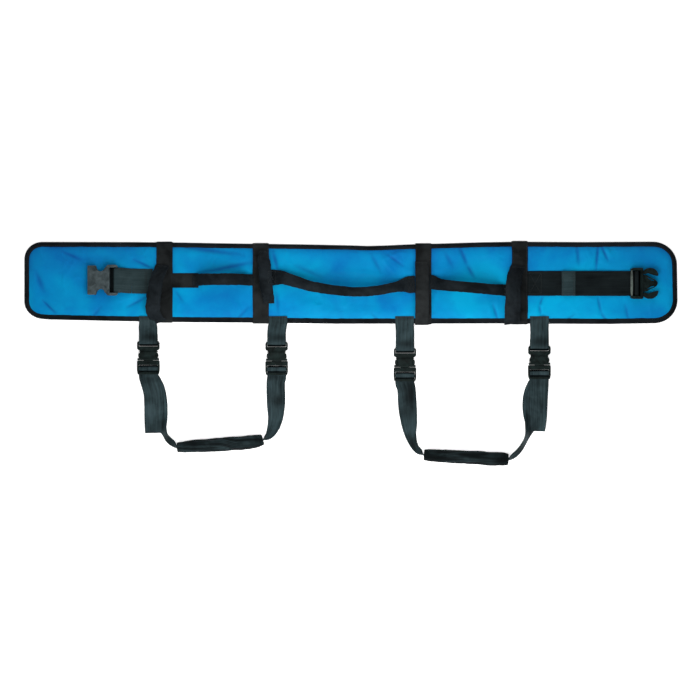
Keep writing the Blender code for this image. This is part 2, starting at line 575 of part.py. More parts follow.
LEFT_PIVOT = (-277.0, LEG_HINGE_Y, LEG_HINGE_Z)
RIGHT_PIVOT = (242.0, LEG_HINGE_Y, LEG_HINGE_Z)
SLEEVE_Z = 12.0
SLEEVES = {
    "left": [(-347, -332.0, 9.0, 9.5), (-339, -331.2, 9.8, 10.4), (-326, -329.8, 10.6, 10.8),
             (-290, -327.6, 11.2, 11.0), (-253, -325.3, 11.7, 11.2), (-215, -322.2, 12.0, 11.2),
             (-195, -320.2, 12.1, 11.0), (-182, -317.6, 11.2, 10.6), (-176, -316.0, 9.6, 9.6)],
    "right": [(146, -346.4, 10.4, 9.8), (154, -347.0, 11.4, 10.6), (176, -348.3, 12.0, 11.0),
              (208, -350.0, 12.4, 11.2), (240, -351.8, 12.6, 11.2), (272, -353.5, 12.7, 11.2),
              (298, -354.8, 12.6, 11.0), (308, -355.3, 12.0, 10.6), (314, -355.7, 10.8, 9.8)],
}
loop_strap("leg_strap_left", 1, 2,
           [((-403.5, -203, 1.5), AXIS_X, HALF_38, WEB_T), ((-397.5, -224, 1.5), AXIS_X, HALF_38, WEB_T),
            ((-390.5, -252, 1.5), AXIS_X, HALF_38, WEB_T), ((-386, -276, 2.9), (1, 0.05, 0.06), 17.0, WEB_T),
            ((-381.5, -289, 5.7), (0.97, 0.1, 0.2), 15.0, WEB_T),
            ((-377.5, -298, 8.6), (0.84, 0.25, 0.44), 12.6, WEB_T),
            ((-373.0, -306, 11.0), (0.55, 0.4, 0.72), 11.0, 0.8),
            ((-366.5, -315, 11.8), (0.22, 0.4, 0.9), 9.8, 1.0),
            ((-356, -326, SLEEVE_Z), (0, 0.3, 0.95), 7.4, 1.4)],
           [(-394, -302, 14.2, 16.0), (-394.4, -289, 12.4, 17.0), (-395.0, -272, 8.6, 18.4),
            (-397.5, -240, 4.8, HALF_38), (-404.0, -202, 3.4, HALF_38)],
           [(x, y, SLEEVE_Z) for x, y, _, _ in SLEEVES["left"]],
           [((-169, -311.5, 11.8), (0, 0.3, 0.95), 7.4, 1.4), ((-164.5, -306, 11.6), (0.28, 0.25, 0.92), 9.4, 1.2),
            ((-160.5, -299, 11.2), (0.55, 0.2, 0.8), 11.2, 1.0), ((-157.5, -291, 9.8), (0.74, 0.12, 0.64), 12.6, 0.8),
            ((-155, -282, 8.0), (0.88, 0.08, 0.44), 14.0, WEB_T),
            ((-153, -273, 6.0), (0.96, 0.03, 0.25), 15.4, WEB_T), ((-151.6, -263, 3.6), (0.995, 0, 0.1), 17.0, WEB_T),
            ((-150.8, -245, 1.6), AXIS_X, HALF_38, WEB_T), ((-150.4, -200, 1.4), AXIS_X, HALF_38, WEB_T)],
           1.5, LEFT_PIVOT, 1)
loop_strap("leg_strap_right", 4, 3,
           [((375.6, -212, 1.5), AXIS_X, HALF_38, WEB_T), ((369.5, -238, 1.5), AXIS_X, HALF_38, WEB_T),
            ((363.5, -268, 3.0), (1, 0, -0.1), 17.5, WEB_T), ((361.0, -281, 5.6), (0.95, 0, -0.3), 15.5, WEB_T),
            ((357.5, -293, 9.4), (0.8, 0, -0.58), 13.5, WEB_T),
            ((353.5, -306, 11.0), (0.6, 0.1, -0.78), 12.0, 0.8),
            ((347.0, -321, 11.6), (0.3, 0.2, -0.92), 10.3, 1.0), ((335, -339, 11.8), (0, 0.1, -1), 9.0, 1.2),
            ((322, -351, SLEEVE_Z), (0, -0.1, -1), 7.4, 1.4)],
           [(376, -299.6, 10.4, 14.0), (376, -285, 8.4, 16.4), (375.8, -268, 6.2, 18.0), (376.2, -230, 3.9, HALF_38)],
           [(x, y, SLEEVE_Z) for x, y, _, _ in reversed(SLEEVES["right"])],
           [((136, -339.5, 11.8), (0, 0.2, -0.97), 7.4, 1.4), ((129.5, -333, 11.6), (0.25, 0.25, -0.93), 9.6, 1.2),
            ((125, -325, 11.2), (0.5, 0.2, -0.84), 11.5, 1.0), ((121, -314, 9.8), (0.72, 0.1, -0.68), 13.0, 0.8),
            ((118.4, -303, 7.9), (0.88, 0.05, -0.46), 14.4, WEB_T),
            ((117, -292, 5.8), (0.95, 0, -0.28), 15.8, WEB_T), ((116, -279, 3.4), (0.99, 0, -0.12), 17.0, WEB_T),
            ((113.5, -255, 1.5), AXIS_X, HALF_38, WEB_T), ((110.5, -212, 1.4), AXIS_X, HALF_38, WEB_T)],
           1.5, RIGHT_PIVOT, -1)
for side, pivot in (("left", LEFT_PIVOT), ("right", RIGHT_PIVOT)):
    rows = [((x, y, SLEEVE_Z), (0, 0.2, 1), ht, hw) for x, y, hw, ht in SLEEVES[side]]
    ribbon("leg_sleeve_%s" % side, rows, "grip", pivot, "round", inner=(8.6, 4.0))

bpy.data.collections.remove(tools)
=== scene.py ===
"""Patient transfer belt with leg loops: soft goods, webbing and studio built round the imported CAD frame."""

import bmesh
import bpy
import numpy as np
from math import atan2, cos, exp, pi, radians, sin, sqrt
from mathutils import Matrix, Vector, noise
from mathutils.bvhtree import BVHTree


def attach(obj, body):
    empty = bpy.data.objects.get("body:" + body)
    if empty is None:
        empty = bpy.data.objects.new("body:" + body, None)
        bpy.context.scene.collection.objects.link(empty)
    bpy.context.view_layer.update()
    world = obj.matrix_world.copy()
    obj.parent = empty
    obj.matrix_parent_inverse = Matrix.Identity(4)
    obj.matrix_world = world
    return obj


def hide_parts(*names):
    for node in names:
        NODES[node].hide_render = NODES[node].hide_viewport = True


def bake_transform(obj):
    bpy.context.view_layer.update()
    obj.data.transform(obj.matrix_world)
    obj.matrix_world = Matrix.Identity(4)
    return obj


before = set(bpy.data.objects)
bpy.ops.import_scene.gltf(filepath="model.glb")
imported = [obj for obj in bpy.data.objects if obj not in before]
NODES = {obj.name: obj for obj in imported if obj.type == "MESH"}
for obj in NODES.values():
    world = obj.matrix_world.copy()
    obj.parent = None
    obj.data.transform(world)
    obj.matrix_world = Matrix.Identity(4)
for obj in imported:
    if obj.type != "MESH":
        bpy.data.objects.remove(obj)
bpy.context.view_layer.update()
MM = 0.001

# ---- materials
def new_material(name, colour, rough, **inputs):
    """A material, the graph to build it with and its shader."""
    mat = bpy.data.materials.new(name)
    mat.use_nodes = True
    tree = mat.node_tree
    shader = tree.nodes["Principled BSDF"]
    shader.inputs["Base Color"].default_value = colour
    shader.inputs["Roughness"].default_value = rough
    for key, value in inputs.items():
        shader.inputs[key.replace("_", " ")].default_value = value
    return mat, Graph(tree), shader


class Graph:
    """Short hand for building a node tree."""

    def __init__(self, tree):
        self.tree = tree

    def node(self, kind, **props):
        made = self.tree.nodes.new("ShaderNode" + kind)
        for key, value in props.items():
            setattr(made, key, value)
        return made

    def link(self, a, b):
        self.tree.links.new(a, b)

    def value(self, socket, item):
        if hasattr(item, "links") or hasattr(item, "is_output"):
            self.link(item, socket)
        else:
            socket.default_value = item

    def math(self, op, a, b=0.0, c=0.0):
        made = self.node("Math", operation=op)
        for socket, item in zip(made.inputs, (a, b, c)):
            self.value(socket, item)
        return made.outputs[0]

    def weigh(self, a, share_a, b, share_b):
        """The weighted sum of two values."""
        return self.math("ADD", self.math("MULTIPLY", a, share_a), self.math("MULTIPLY", b, share_b))

    def place(self):
        return self.node("TexCoord").outputs["Object"]

    def stored(self, name):
        """A value that the mesh holds for each vertex."""
        return self.node("Attribute", attribute_name=name).outputs["Fac"]

    def noise(self, vector, scale, detail=2.0, rough=0.5, distortion=0.0):
        made = self.node("TexNoise")
        self.link(vector, made.inputs["Vector"])
        settings = {"Scale": scale, "Detail": detail, "Roughness": rough, "Distortion": distortion}
        for key, item in settings.items():
            made.inputs[key].default_value = item
        return made.outputs["Fac"]

    def remap(self, item, a0, a1, b0, b1):
        made = self.node("MapRange")
        self.value(made.inputs[0], item)
        for k, v in zip((1, 2, 3, 4), (a0, a1, b0, b1)):
            made.inputs[k].default_value = v
        return made.outputs[0]

    def mix(self, fac, a, b):
        made = self.node("Mix", data_type="RGBA")
        self.value(made.inputs[0], fac)
        self.value(made.inputs[6], a)
        self.value(made.inputs[7], b)
        return made.outputs[2]

    def bump(self, height, distance, strength=1.0, normal=None):
        made = self.node("Bump")
        made.inputs["Strength"].default_value = strength
        made.inputs["Distance"].default_value = distance
        self.link(height, made.inputs["Height"])
        if normal is not None:
            self.link(normal, made.inputs["Normal"])
        return made.outputs[0]

    def xyz(self, vector):
        made = self.node("SeparateXYZ")
        self.link(vector, made.inputs[0])
        return made.outputs

    def wave(self, coordinate, period):
        """A sine of that period, from 0 to 1, along one coordinate in metres."""
        turned = self.math("MULTIPLY", coordinate, 2 * pi / period)
        return self.math("MULTIPLY_ADD", self.math("SINE", turned), 0.5, 0.5)


def rgb(r, g, b):
    """sRGB from 0 to 255 as linear light, with alpha."""
    out = []
    for c in (r, g, b):
        c /= 255
        out.append(c / 12.92 if c <= 0.04045 else ((c + 0.055) / 1.055) ** 2.4)
    return (*out, 1.0)


def cover_material():
    """Coated nylon: a tight weave under a soft film, with long tone changes from the wrinkles in it."""
    mat, g, shader = new_material("coated_nylon_blue", rgb(4, 132, 186), 0.46, Specular_IOR_Level=0.03)
    place = g.place()
    x, y, _ = g.xyz(place)
    broad = g.noise(place, 6.5, 2.0, 0.5, 1.0)
    fine = g.noise(place, 60.0, 3.0, 0.6, 0.4)
    tone = g.weigh(broad, 0.85, fine, 0.15)
    colour = g.mix(g.remap(tone, 0.34, 0.66, 0.0, 1.0), rgb(3, 112, 180), rgb(1, 154, 202))
    # painted shade: a deeper blue in creases, along the upper edge, beside the bands and towards the upper
    # side and the ends
    fold = g.stored("fold")
    colour = g.mix(g.remap(fold, 0.0, 1.0, 0.0, 0.75), colour, rgb(14, 62, 136))
    weave = g.math("MULTIPLY", g.wave(x, 0.00062), g.wave(y, 0.00062))
    g.link(colour, shader.inputs["Base Color"])
    g.link(g.remap(fine, 0.3, 0.7, 0.42, 0.56), shader.inputs["Roughness"])
    first = g.bump(weave, 0.00012, 0.35)
    crumple = g.weigh(g.noise(place, 38.0, 4.0, 0.6, 1.2), 0.6, g.noise(place, 110.0, 3.0, 0.6, 0.6), 0.4)
    second = g.bump(crumple, 0.0016, 0.55, first)
    g.link(second, shader.inputs["Normal"])
    return mat


def woven_material(name, base, light, rib_u, rib_v, rough, depth, crumple=0.0, streak=0.0):
    """Webbing, tape or fabric: ribs at their real pitch across and along the run. The UV map is in metres."""
    mat, g, shader = new_material(name, rgb(*base), rough, Specular_IOR_Level=0.04)
    uv = g.node("UVMap").outputs[0]
    place = g.place()
    u, v, _ = g.xyz(uv)
    # a herringbone: the rib leans one way, then the other, across the width
    lean = g.math("PINGPONG", u, rib_u * 4.0)
    rib = g.wave(g.math("ADD", v, lean), rib_v)
    cord = g.wave(u, rib_u)
    height = g.weigh(rib, 0.55, cord, 0.45)
    tone = g.noise(place, 22.0, 3.0, 0.6, 0.5)
    if streak:
        stretched = g.node("Mapping")
        g.link(uv, stretched.inputs["Vector"])
        stretched.inputs["Scale"].default_value = (240.0, 14.0, 1.0)
        tone = g.weigh(tone, 1.0 - streak, g.noise(stretched.outputs[0], 1.0, 3.0, 0.6), streak)
    tone = g.math("ADD", g.remap(tone, 0.35, 0.65, 0.0, 0.8), g.math("MULTIPLY", height, 0.25))
    cloth = g.mix(tone, rgb(*base), rgb(*light))
    # painted shade: marked stretches, such as webbing inside a slot, a crease near a buckle or a sleeve's
    # pleats, are mixed towards near black
    g.link(g.mix(g.stored("painted_dark"), cloth, rgb(3, 6, 7)), shader.inputs["Base Color"])
    normal = g.bump(height, depth, 0.6)
    if crumple:
        soft = g.weigh(g.noise(place, 70.0, 4.0, 0.6, 1.0), 0.7, g.noise(place, 190.0, 2.0, 0.6, 0.4), 0.3)
        normal = g.bump(soft, crumple, 0.7, normal)
    g.link(normal, shader.inputs["Normal"])
    g.link(g.remap(tone, 0.0, 1.0, rough + 0.06, rough - 0.08), shader.inputs["Roughness"])
    return mat


def plastic_material(name, low, high, rim_highlight):
    """Moulded acetal: fine grain, faint flow marks and a painted highlight on its rims."""
    mat, g, shader = new_material(name, rgb(*low), 0.5, Specular_IOR_Level=0.07)
    place = g.place()
    grain = g.noise(place, 2600.0, 2.0, 0.6)
    flow = g.noise(place, 90.0, 3.0, 0.55, 0.8)
    edge = g.node("NewGeometry").outputs["Pointiness"]
    # painted highlight: sharp rims mixed towards a paler colour
    rim = g.remap(edge, 0.52, 0.62, 0.0, 0.35)
    base = g.mix(g.remap(flow, 0.3, 0.7, 0.0, 1.0), rgb(*low), rgb(*high))
    g.link(g.mix(rim, base, rgb(*rim_highlight)), shader.inputs["Base Color"])
    g.link(g.remap(flow, 0.3, 0.7, 0.46, 0.58), shader.inputs["Roughness"])
    g.link(g.bump(grain, 0.00006, 0.35), shader.inputs["Normal"])
    return mat


def thread_material():
    mat, g, shader = new_material("sewing_thread_black", rgb(14, 17, 18), 0.5, Specular_IOR_Level=0.2)
    place = g.place()
    twist = g.noise(place, 1500.0, 2.0)
    g.link(g.mix(twist, rgb(8, 11, 12), rgb(42, 47, 48)), shader.inputs["Base Color"])
    g.link(g.bump(twist, 0.0001, 0.4), shader.inputs["Normal"])
    return mat


COVER = cover_material()
# pitch of the ribs across and along, in metres
WEBBING, CLOTH = (0.0013, 0.0024), (0.0008, 0.0008)
BACKING = woven_material("backing_fabric_black", (26, 28, 30), (44, 47, 49), 0.0011, 0.0011,
                         0.8, 0.0002, 0.0006)
BINDING = woven_material("binding_tape_black", (6, 9, 12), (21, 26, 30), 0.0012, 0.0016,
                         0.68, 0.0002, 0.0004)
BAND = woven_material("band_webbing_black", (10, 12, 13), (36, 39, 40), 0.0013, 0.0022, 0.62, 0.0003, 0.0005)
# lit and shaded copies of one black webbing: painted sheen on the left waist webbing and the hem, painted
# shade on the right waist webbing
WAIST_WEB_SHEEN = woven_material("waist_webbing_black_painted_sheen", (22, 36, 39), (48, 63, 66), *WEBBING,
                           0.5, 0.0003, 0.0, 0.5)
WAIST_WEB_SHADE = woven_material("waist_webbing_black_painted_shade", (4, 8, 10), (22, 29, 31), *WEBBING,
                          0.5, 0.0003, 0.0, 0.5)
LEG_WEB = woven_material("leg_webbing_black", (0, 6, 7), (54, 70, 74), *WEBBING, 0.52, 0.0003, 0.0, 0.5)
GRIP = woven_material("grip_fabric_black", (8, 12, 15), (29, 35, 39), *CLOTH, 0.6, 0.00018, 0.0011)
SLEEVE = woven_material("sleeve_fabric_black", (4, 10, 11), (44, 57, 60), *CLOTH, 0.6, 0.00018, 0.0018)
# painted highlight for the waist plug's outer bar
HIGHLIGHT_ACETAL = plastic_material("acetal_painted_highlight", (58, 65, 62), (104, 114, 109), (128, 136, 132))
PLASTIC = plastic_material("acetal_black", (0, 5, 4), (20, 32, 31), (48, 55, 54))
# a paler copy of the black acetal, for the female waist half
PALE_ACETAL = plastic_material("acetal_black_pale", (36, 44, 46), (72, 82, 85), (100, 110, 110))
THREAD = thread_material()


# ---- mesh helpers
WEB_STEP = 0.004


def make(name, verts, faces, mat, uvs=None, smooth=True, sharp=50):
    """A mesh object from metres; uvs holds one pair for each face corner, in order."""
    mesh = bpy.data.meshes.new(name)
    mesh.from_pydata([tuple(map(float, v)) for v in verts], [], faces)
    if uvs is not None:
        layer = mesh.uv_layers.new(name="UVMap")
        layer.data.foreach_set("uv", np.asarray(uvs, np.float32).ravel())
    mesh.validate()
    mesh.materials.append(mat)
    if smooth:
        mesh.shade_smooth()
        mesh.set_sharp_from_angle(angle=radians(sharp))
    obj = bpy.data.objects.new(name, mesh)
    bpy.context.scene.collection.objects.link(obj)
    return obj


def between(t, t0, t1, a, b):
    """The point at t on the line that passes a at t0 and b at t1."""
    return (t1 - t) / (t1 - t0) * a + (t - t0) / (t1 - t0) * b


def catmull(rows, step):
    """Rows of numbers, the first three a point, resampled every step metres along a smooth curve."""
    rows = np.asarray(rows, float)
    pts = np.vstack([2 * rows[0] - rows[1], rows, 2 * rows[-1] - rows[-2]])
    out = []
    for i in range(1, len(pts) - 2):
        p0, p1, p2, p3 = pts[i - 1], pts[i], pts[i + 1], pts[i + 2]
        # centripetal knots keep tight loops free of overshoot
        d = [max(np.linalg.norm(b[:3] - a[:3]), 1e-6) ** 0.5 for a, b in ((p0, p1), (p1, p2), (p2, p3))]
        t0, t1, t2, t3 = 0.0, d[0], d[0] + d[1], d[0] + d[1] + d[2]
        n = max(2, int(round(np.linalg.norm(p2[:3] - p1[:3]) / step)))
        for k in range(n):
            t = t1 + (t2 - t1) * k / n
            a1, a2, a3 = between(t, t0, t1, p0, p1), between(t, t1, t2, p1, p2), between(t, t2, t3, p2, p3)
            b1, b2 = between(t, t0, t2, a1, a2), between(t, t1, t3, a2, a3)
            out.append(between(t, t1, t2, b1, b2))
    out.append(rows[-1])
    return np.array(out)


def coords(mesh):
    co = np.empty(len(mesh.vertices) * 3)
    mesh.vertices.foreach_get("co", co)
    return co.reshape(-1, 3)


def store(mesh, name, values):
    """Give the mesh one value for each vertex, for its material to read."""
    mesh.attributes.new(name, "FLOAT", "POINT").data.foreach_set("value", np.asarray(values, np.float32))


def tube_faces(levels, n, base=0):
    """Quads between rings of n points, one ring after another from vertex base on."""
    return [[a + k, a + n + k, a + n + (k + 1) % n, a + (k + 1) % n]
            for a in range(base, base + (levels - 1) * n, n) for k in range(n)]


def tube_uvs(around, along):
    """A UV pair for each corner of tube_faces."""
    return [corner for v0, v1 in zip(along, along[1:]) for u0, u1 in zip(around, around[1:])
            for corner in ((u0, v0), (u0, v1), (u1, v1), (u1, v0))]


def unit(v):
    return v / max(np.linalg.norm(v), 1e-12)


def ring_web(n=12):
    """A flat webbing section: thick almost to the edge, then a rounded selvedge."""
    top = [(-1 + 2 * i / n, 1.0) for i in range(n + 1)]
    top[0], top[-1] = (-0.985, 0.62), (0.985, 0.62)
    low = [(-u, -v) for u, v in top]
    return [(-1.0, 0.0)] + top + [(1.0, 0.0)] + low


def ring_tube(n):
    """A round section."""
    return [(-cos(2 * pi * i / n), sin(2 * pi * i / n)) for i in range(n)]


def sweep(name, rows, ring, mat, step=WEB_STEP, shape=None, closed_ends=True):
    """Sweep a section along rows of (x, y, z, wx, wy, wz, half width, half thickness) in millimetres.

    shape(s, u, v, width) may return an extra offset along the surface normal, in metres.
    """
    rows = np.asarray(rows, float).copy()
    rows[:, :3] *= MM
    rows[:, 6:8] *= MM
    fine = catmull(rows, step)
    count = len(ring)
    length = np.concatenate([[0], np.cumsum(np.linalg.norm(np.diff(fine[:, :3], axis=0), axis=1))])
    verts = []
    for i, row in enumerate(fine):
        run = unit(fine[min(i + 1, len(fine) - 1), :3] - fine[max(i - 1, 0), :3])
        w = unit(row[3:6] - run * np.dot(run, row[3:6]))
        up = np.cross(run, w)
        hw, ht = row[6], row[7]
        for u, v in ring:
            offset = w * (u * hw) + up * (v * ht)
            if shape is not None:
                n = unit(w * (u / max(hw, 1e-5)) + up * (v / max(ht, 1e-5)))
                offset = offset + n * shape(length[i], u, v, hw)
            verts.append(row[:3] + offset)
    per = [0.0]
    for k in range(count):
        a, b = ring[k], ring[(k + 1) % count]
        per.append(per[-1] + sqrt((b[0] - a[0]) ** 2 + (0.2 * (b[1] - a[1])) ** 2))
    around = np.array(per) * float(np.median(fine[:, 6]))
    faces, uvs = tube_faces(len(fine), count), tube_uvs(around, length)
    if closed_ends:
        first, last = list(range(count)), list(range((len(fine) - 1) * count, len(fine) * count))
        faces += [first, last[::-1]]
        uvs += [(u, 0.0) for u in around[:-1]] + [(u, length[-1]) for u in around[:-1]][::-1]
    obj = make(name, verts, faces, mat, uvs)
    fix_normals(obj)
    return obj


def fix_normals(obj):
    """Turn a closed mesh's faces outwards."""
    bm = bmesh.new()
    bm.from_mesh(obj.data)
    bmesh.ops.recalc_face_normals(bm, faces=bm.faces)
    bm.to_mesh(obj.data)
    bm.free()


def noise_at(x, y, z):
    """Smooth noise from -1 to 1."""
    return noise.noise(Vector((x, y, z)))


def fractal(x, y, z, octaves):
    total, size = 0.0, 1.0
    for _ in range(octaves):
        total += size * noise_at(x, y, z)
        x, y, z, size = x * 2.1 + 3.1, y * 2.1 + 1.7, z * 2.1 + 5.3, size * 0.5
    return total


# ---- the panel's own shape
X0, X1 = -650.0, 650.0
HALF_Y = 80.0
CORNERS = {-1: 35.0, 1: 45.0}
BANDS = {"band_1": -373.4, "band_2": -180.6, "band_3": 144.6, "band_4": 337.6}
SEAM_X = 144.6
TOP = np.array([(-650, 79.6), (-434, 79.2), (-338, 78.2), (-238, 76.4), (-98, 74.6), (-2, 72.6), (34, 71.4),
                (70, 72.4), (118, 74.6), (190, 76.6), (262, 78.8), (334, 79.9), (460, 79.2), (600, 80.0),
                (650, 78.6)])
LOW = np.array([(-650, 71.8), (-602, 76.0), (-480, 78.8), (-314, 81.6), (-202, 82.2), (-26, 84.6),
                (300, 84.0), (460, 84.8), (520, 85.0), (600, 83.6), (650, 82.4)])


def smooth(t):
    t = min(max(t, 0.0), 1.0)
    return t * t * (3 - 2 * t)


def warp_y(x, y):
    """The cloth panel isn't quite straight: its upper edge sags in the middle, its lower one bellies out."""
    if y >= 0:
        return y * np.interp(x, TOP[:, 0], TOP[:, 1]) / HALF_Y
    return y * np.interp(x, LOW[:, 0], LOW[:, 1]) / HALF_Y


def warp_x(x, y):
    """Both ends bulge out a little, the right one more towards its lower corner."""
    if x < 0:
        return x - 4.4 * smooth((-x - 560.0) / 80.0)
    return x + (3.6 - 1.2 * y / HALF_Y) * smooth((x - 560.0) / 80.0)


def spot(x, y, z):
    """A point of the straightened panel, in millimetres, where it lies on the real one, in metres."""
    return (warp_x(x, y) * MM, warp_y(x, y) * MM, z * MM)


def edge_distance(x, y):
    """Distance in from the straightened panel's outline, in millimetres."""
    side = -1 if x < 0 else 1
    r = CORNERS[side]
    dx = (x - X0) if side < 0 else (X1 - x)
    dy = HALF_Y - abs(y)
    if dx < r and dy < r:
        return r - sqrt((r - dx) ** 2 + (r - dy) ** 2)
    return min(dx, dy)


# wrinkles read off the photograph: x0, y0, x1, y1, height, width, in millimetres
CREASES = [
    (495, 74, 490, 24, -1.5, 3.4), (500, 74, 514, 42, -1.5, 3.0), (506, 72, 522, 50, 1.4, 4.4),
    (494, -30, 500, -58, -1.3, 3.2), (500, -58, 512, -76, -1.1, 3.4), (384, -28, 377, -46, -1.4, 2.8),
    (377, -46, 380, -62, -1.5, 2.8), (380, -62, 396, -72, -1.2, 3.2), (372, -44, 368, -64, 1.0, 4.5),
    (425, -76, 448, -62, -0.9, 3.2), (452, 74, 456, 34, -1.1, 5.0), (548, -44, 556, -74, -0.9, 3.4),
    (470, 72, 478, 48, 0.9, 5.0), (560, 46, 600, 66, 0.8, 7.0), (218, 70, 232, 34, -1.4, 5.0),
    (232, 34, 246, 8, -1.3, 5.0), (188, 60, 204, 30, -0.8, 5.0), (284, -44, 294, -74, -1.4, 3.2),
    (276, -50, 282, -76, 0.8, 4.0), (300, 60, 284, 20, 0.9, 7.0), (104, 66, 60, 48, 1.0, 4.5),
    (58, 58, 84, 20, 1.1, 4.0), (72, 60, 104, 34, -1.1, 3.6), (40, 62, 60, 20, -0.9, 5.0),
    (-156, 64, -146, 22, -1.3, 5.0), (-140, 66, -120, 30, 0.8, 6.0), (-150, -16, -146, -60, -1.1, 4.6),
    (-20, 24, 60, 14, 0.8, 6.0), (-110, 34, -60, 10, -0.8, 6.0), (40, -60, 60, -78, -0.9, 3.4),
    (-90, -40, -40, -60, 0.6, 8.0), (-292, 20, -200, 40, -1.4, 6.0), (-330, 70, -215, 56, -1.1, 7.0),
    (-352, 40, -330, 20, 0.9, 5.0), (-352, -18, -336, -40, -1.0, 4.0), (-240, -30, -214, -62, 0.8, 5.0),
    (-230, -76, -206, -50, -0.9, 4.0), (-614, -40, -590, -66, -1.4, 3.2), (-606, -34, -580, -52, 0.8, 4.0),
    (-584, 50, -552, 28, 1.1, 4.0), (-576, 60, -540, 44, -1.0, 4.0), (-434, 44, -396, 26, -1.2, 3.6),
    (-428, 56, -398, 42, 0.9, 4.0), (-448, -52, -408, -30, -1.3, 3.6), (-470, -40, -420, -24, 0.8, 5.0),
    (-626, 20, -612, -20, -0.9, 6.0), (-520, -76, -500, -52, -0.8, 4.0), (-600, 70, -560, 74, -0.8, 5.0),
]


def crumple(x, y, d):
    """Loose cover over foam: broad swells, a few ridged wrinkles, and puckers square to the bound edge."""
    swell = 0.95 * fractal(x / 62, y / 48, 0.3, 2)
    ridge = 1.0 - abs(noise_at(x / 34 + 0.6 * noise_at(x / 50, y / 50, 4.0), y / 44, 2.7)) * 2.4
    wrinkle = 0.85 * max(ridge, 0.0) ** 4 * smooth((noise_at(x / 90, y / 70, 9.0) + 0.35) * 2)
    near = exp(-max(d - 10.0, 0.0) / 14.0)
    pucker = 0.6 * near * noise_at(x / 9.0, y / 38.0, 1.3)
    total = swell + wrinkle + pucker
    for height, width, off, along in creases_near(x, y):
        total += 1.5 * height * exp(-(off / width) ** 2) * along
    return total


def creases_near(x, y):
    """Height, width, distance and strength of every wrinkle close to a point."""
    found = []
    for x0, y0, x1, y1, height, width in CREASES:
        if min(x0, x1) - 20 > x or max(x0, x1) + 20 < x:
            continue
        ax, ay = x1 - x0, y1 - y0
        t = ((x - x0) * ax + (y - y0) * ay) / (ax * ax + ay * ay)
        t = min(max(t, 0.0), 1.0)
        off = sqrt((x - x0 - t * ax) ** 2 + (y - y0 - t * ay) ** 2)
        if off < width * 3:
            found.append((height, width, off, 0.35 + 0.65 * sin(pi * min(max(t, 0.02), 0.98))))
    return found


def cover_painted_shade(x, y):
    """Painted shade on the cover at a point, from 0 to 1: in crease valleys, along the upper edge, beside the
    bands and towards the upper side and the ends.
    """
    tone = 0.0
    # painted shade in the valleys of the creases
    for height, width, off, along in creases_near(x, y):
        if height < 0:
            tone = max(tone, -0.55 * height * along * exp(-(off / (0.75 * width)) ** 2))
    d = edge_distance(x, y)
    # painted shade along the upper edge
    rim = 0.5 * exp(-max(d - 9.0, 0.0) / 5.0) * smooth(y / 40.0)
    # painted shade beside the bands, deeper on the upper side
    side = 0.0
    for xb in BANDS.values():
        side = max(side, 0.34 * exp(-max(abs(x - xb) - 16.0, 0.0) / 5.0) * smooth((y + 30.0) / 60.0))
    # painted shade: darker along the upper side and towards the ends, with some random tone
    painted_dark = 0.26 * smooth((y + 25.0) / 90.0) + 0.24 * smooth((-x - 360.0) / 160.0)
    painted_dark += 0.2 * smooth((x - 470.0) / 120.0)
    painted_dark += 0.12 * noise_at(x / 70.0, y / 60.0, 8.2)
    return min(max(tone + rim + side + painted_dark, 0.0), 1.0)


def face_z(x, y, rough=True):
    """Height of the padded front, in millimetres, at a point of the straightened panel."""
    d = edge_distance(x, y)
    t = min(max((d - 8.5) / 17.0, 0.0), 1.0)
    z = 4.2 + 3.8 * (1 - (1 - t) ** 2)
    for xb in BANDS.values():
        z -= 0.9 * t * (1 - smooth((abs(x - xb) - 12.0) / 12.0))
    if rough:
        calm = 1.0
        for xb in BANDS.values():
            calm = min(calm, 0.35 + 0.65 * smooth((abs(x - xb) - 14.0) / 8.0))
        z += crumple(x, y, d) * min(max((d - 7.0) / 9.0, 0.0), 1.0) * calm
    return z


def half_height(x, inset):
    """Half height of the outline at x, for an outline moved in by inset."""
    side = -1 if x < 0 else 1
    r = CORNERS[side] - inset
    dx = (x - X0 - inset) if side < 0 else (X1 - inset - x)
    h = HALF_Y - inset
    if dx < r:
        h += -r + sqrt(max(r * r - (r - dx) ** 2, 0.0))
    return h


def columns(xa, xb, inset, step):
    """x positions from xa to xb, closer together where a corner turns."""
    xs = [xa]
    while xs[-1] < xb - 1e-6:
        x = xs[-1]
        dx = min(x - X0 - inset, X1 - inset - x)
        pace = step if dx > 46 else max(0.5, step * (0.18 + 0.82 * dx / 46))
        xs.append(min(x + pace, xb))
    if len(xs) > 2 and xs[-1] - xs[-2] < 0.4:
        xs.pop(-2)
    return xs


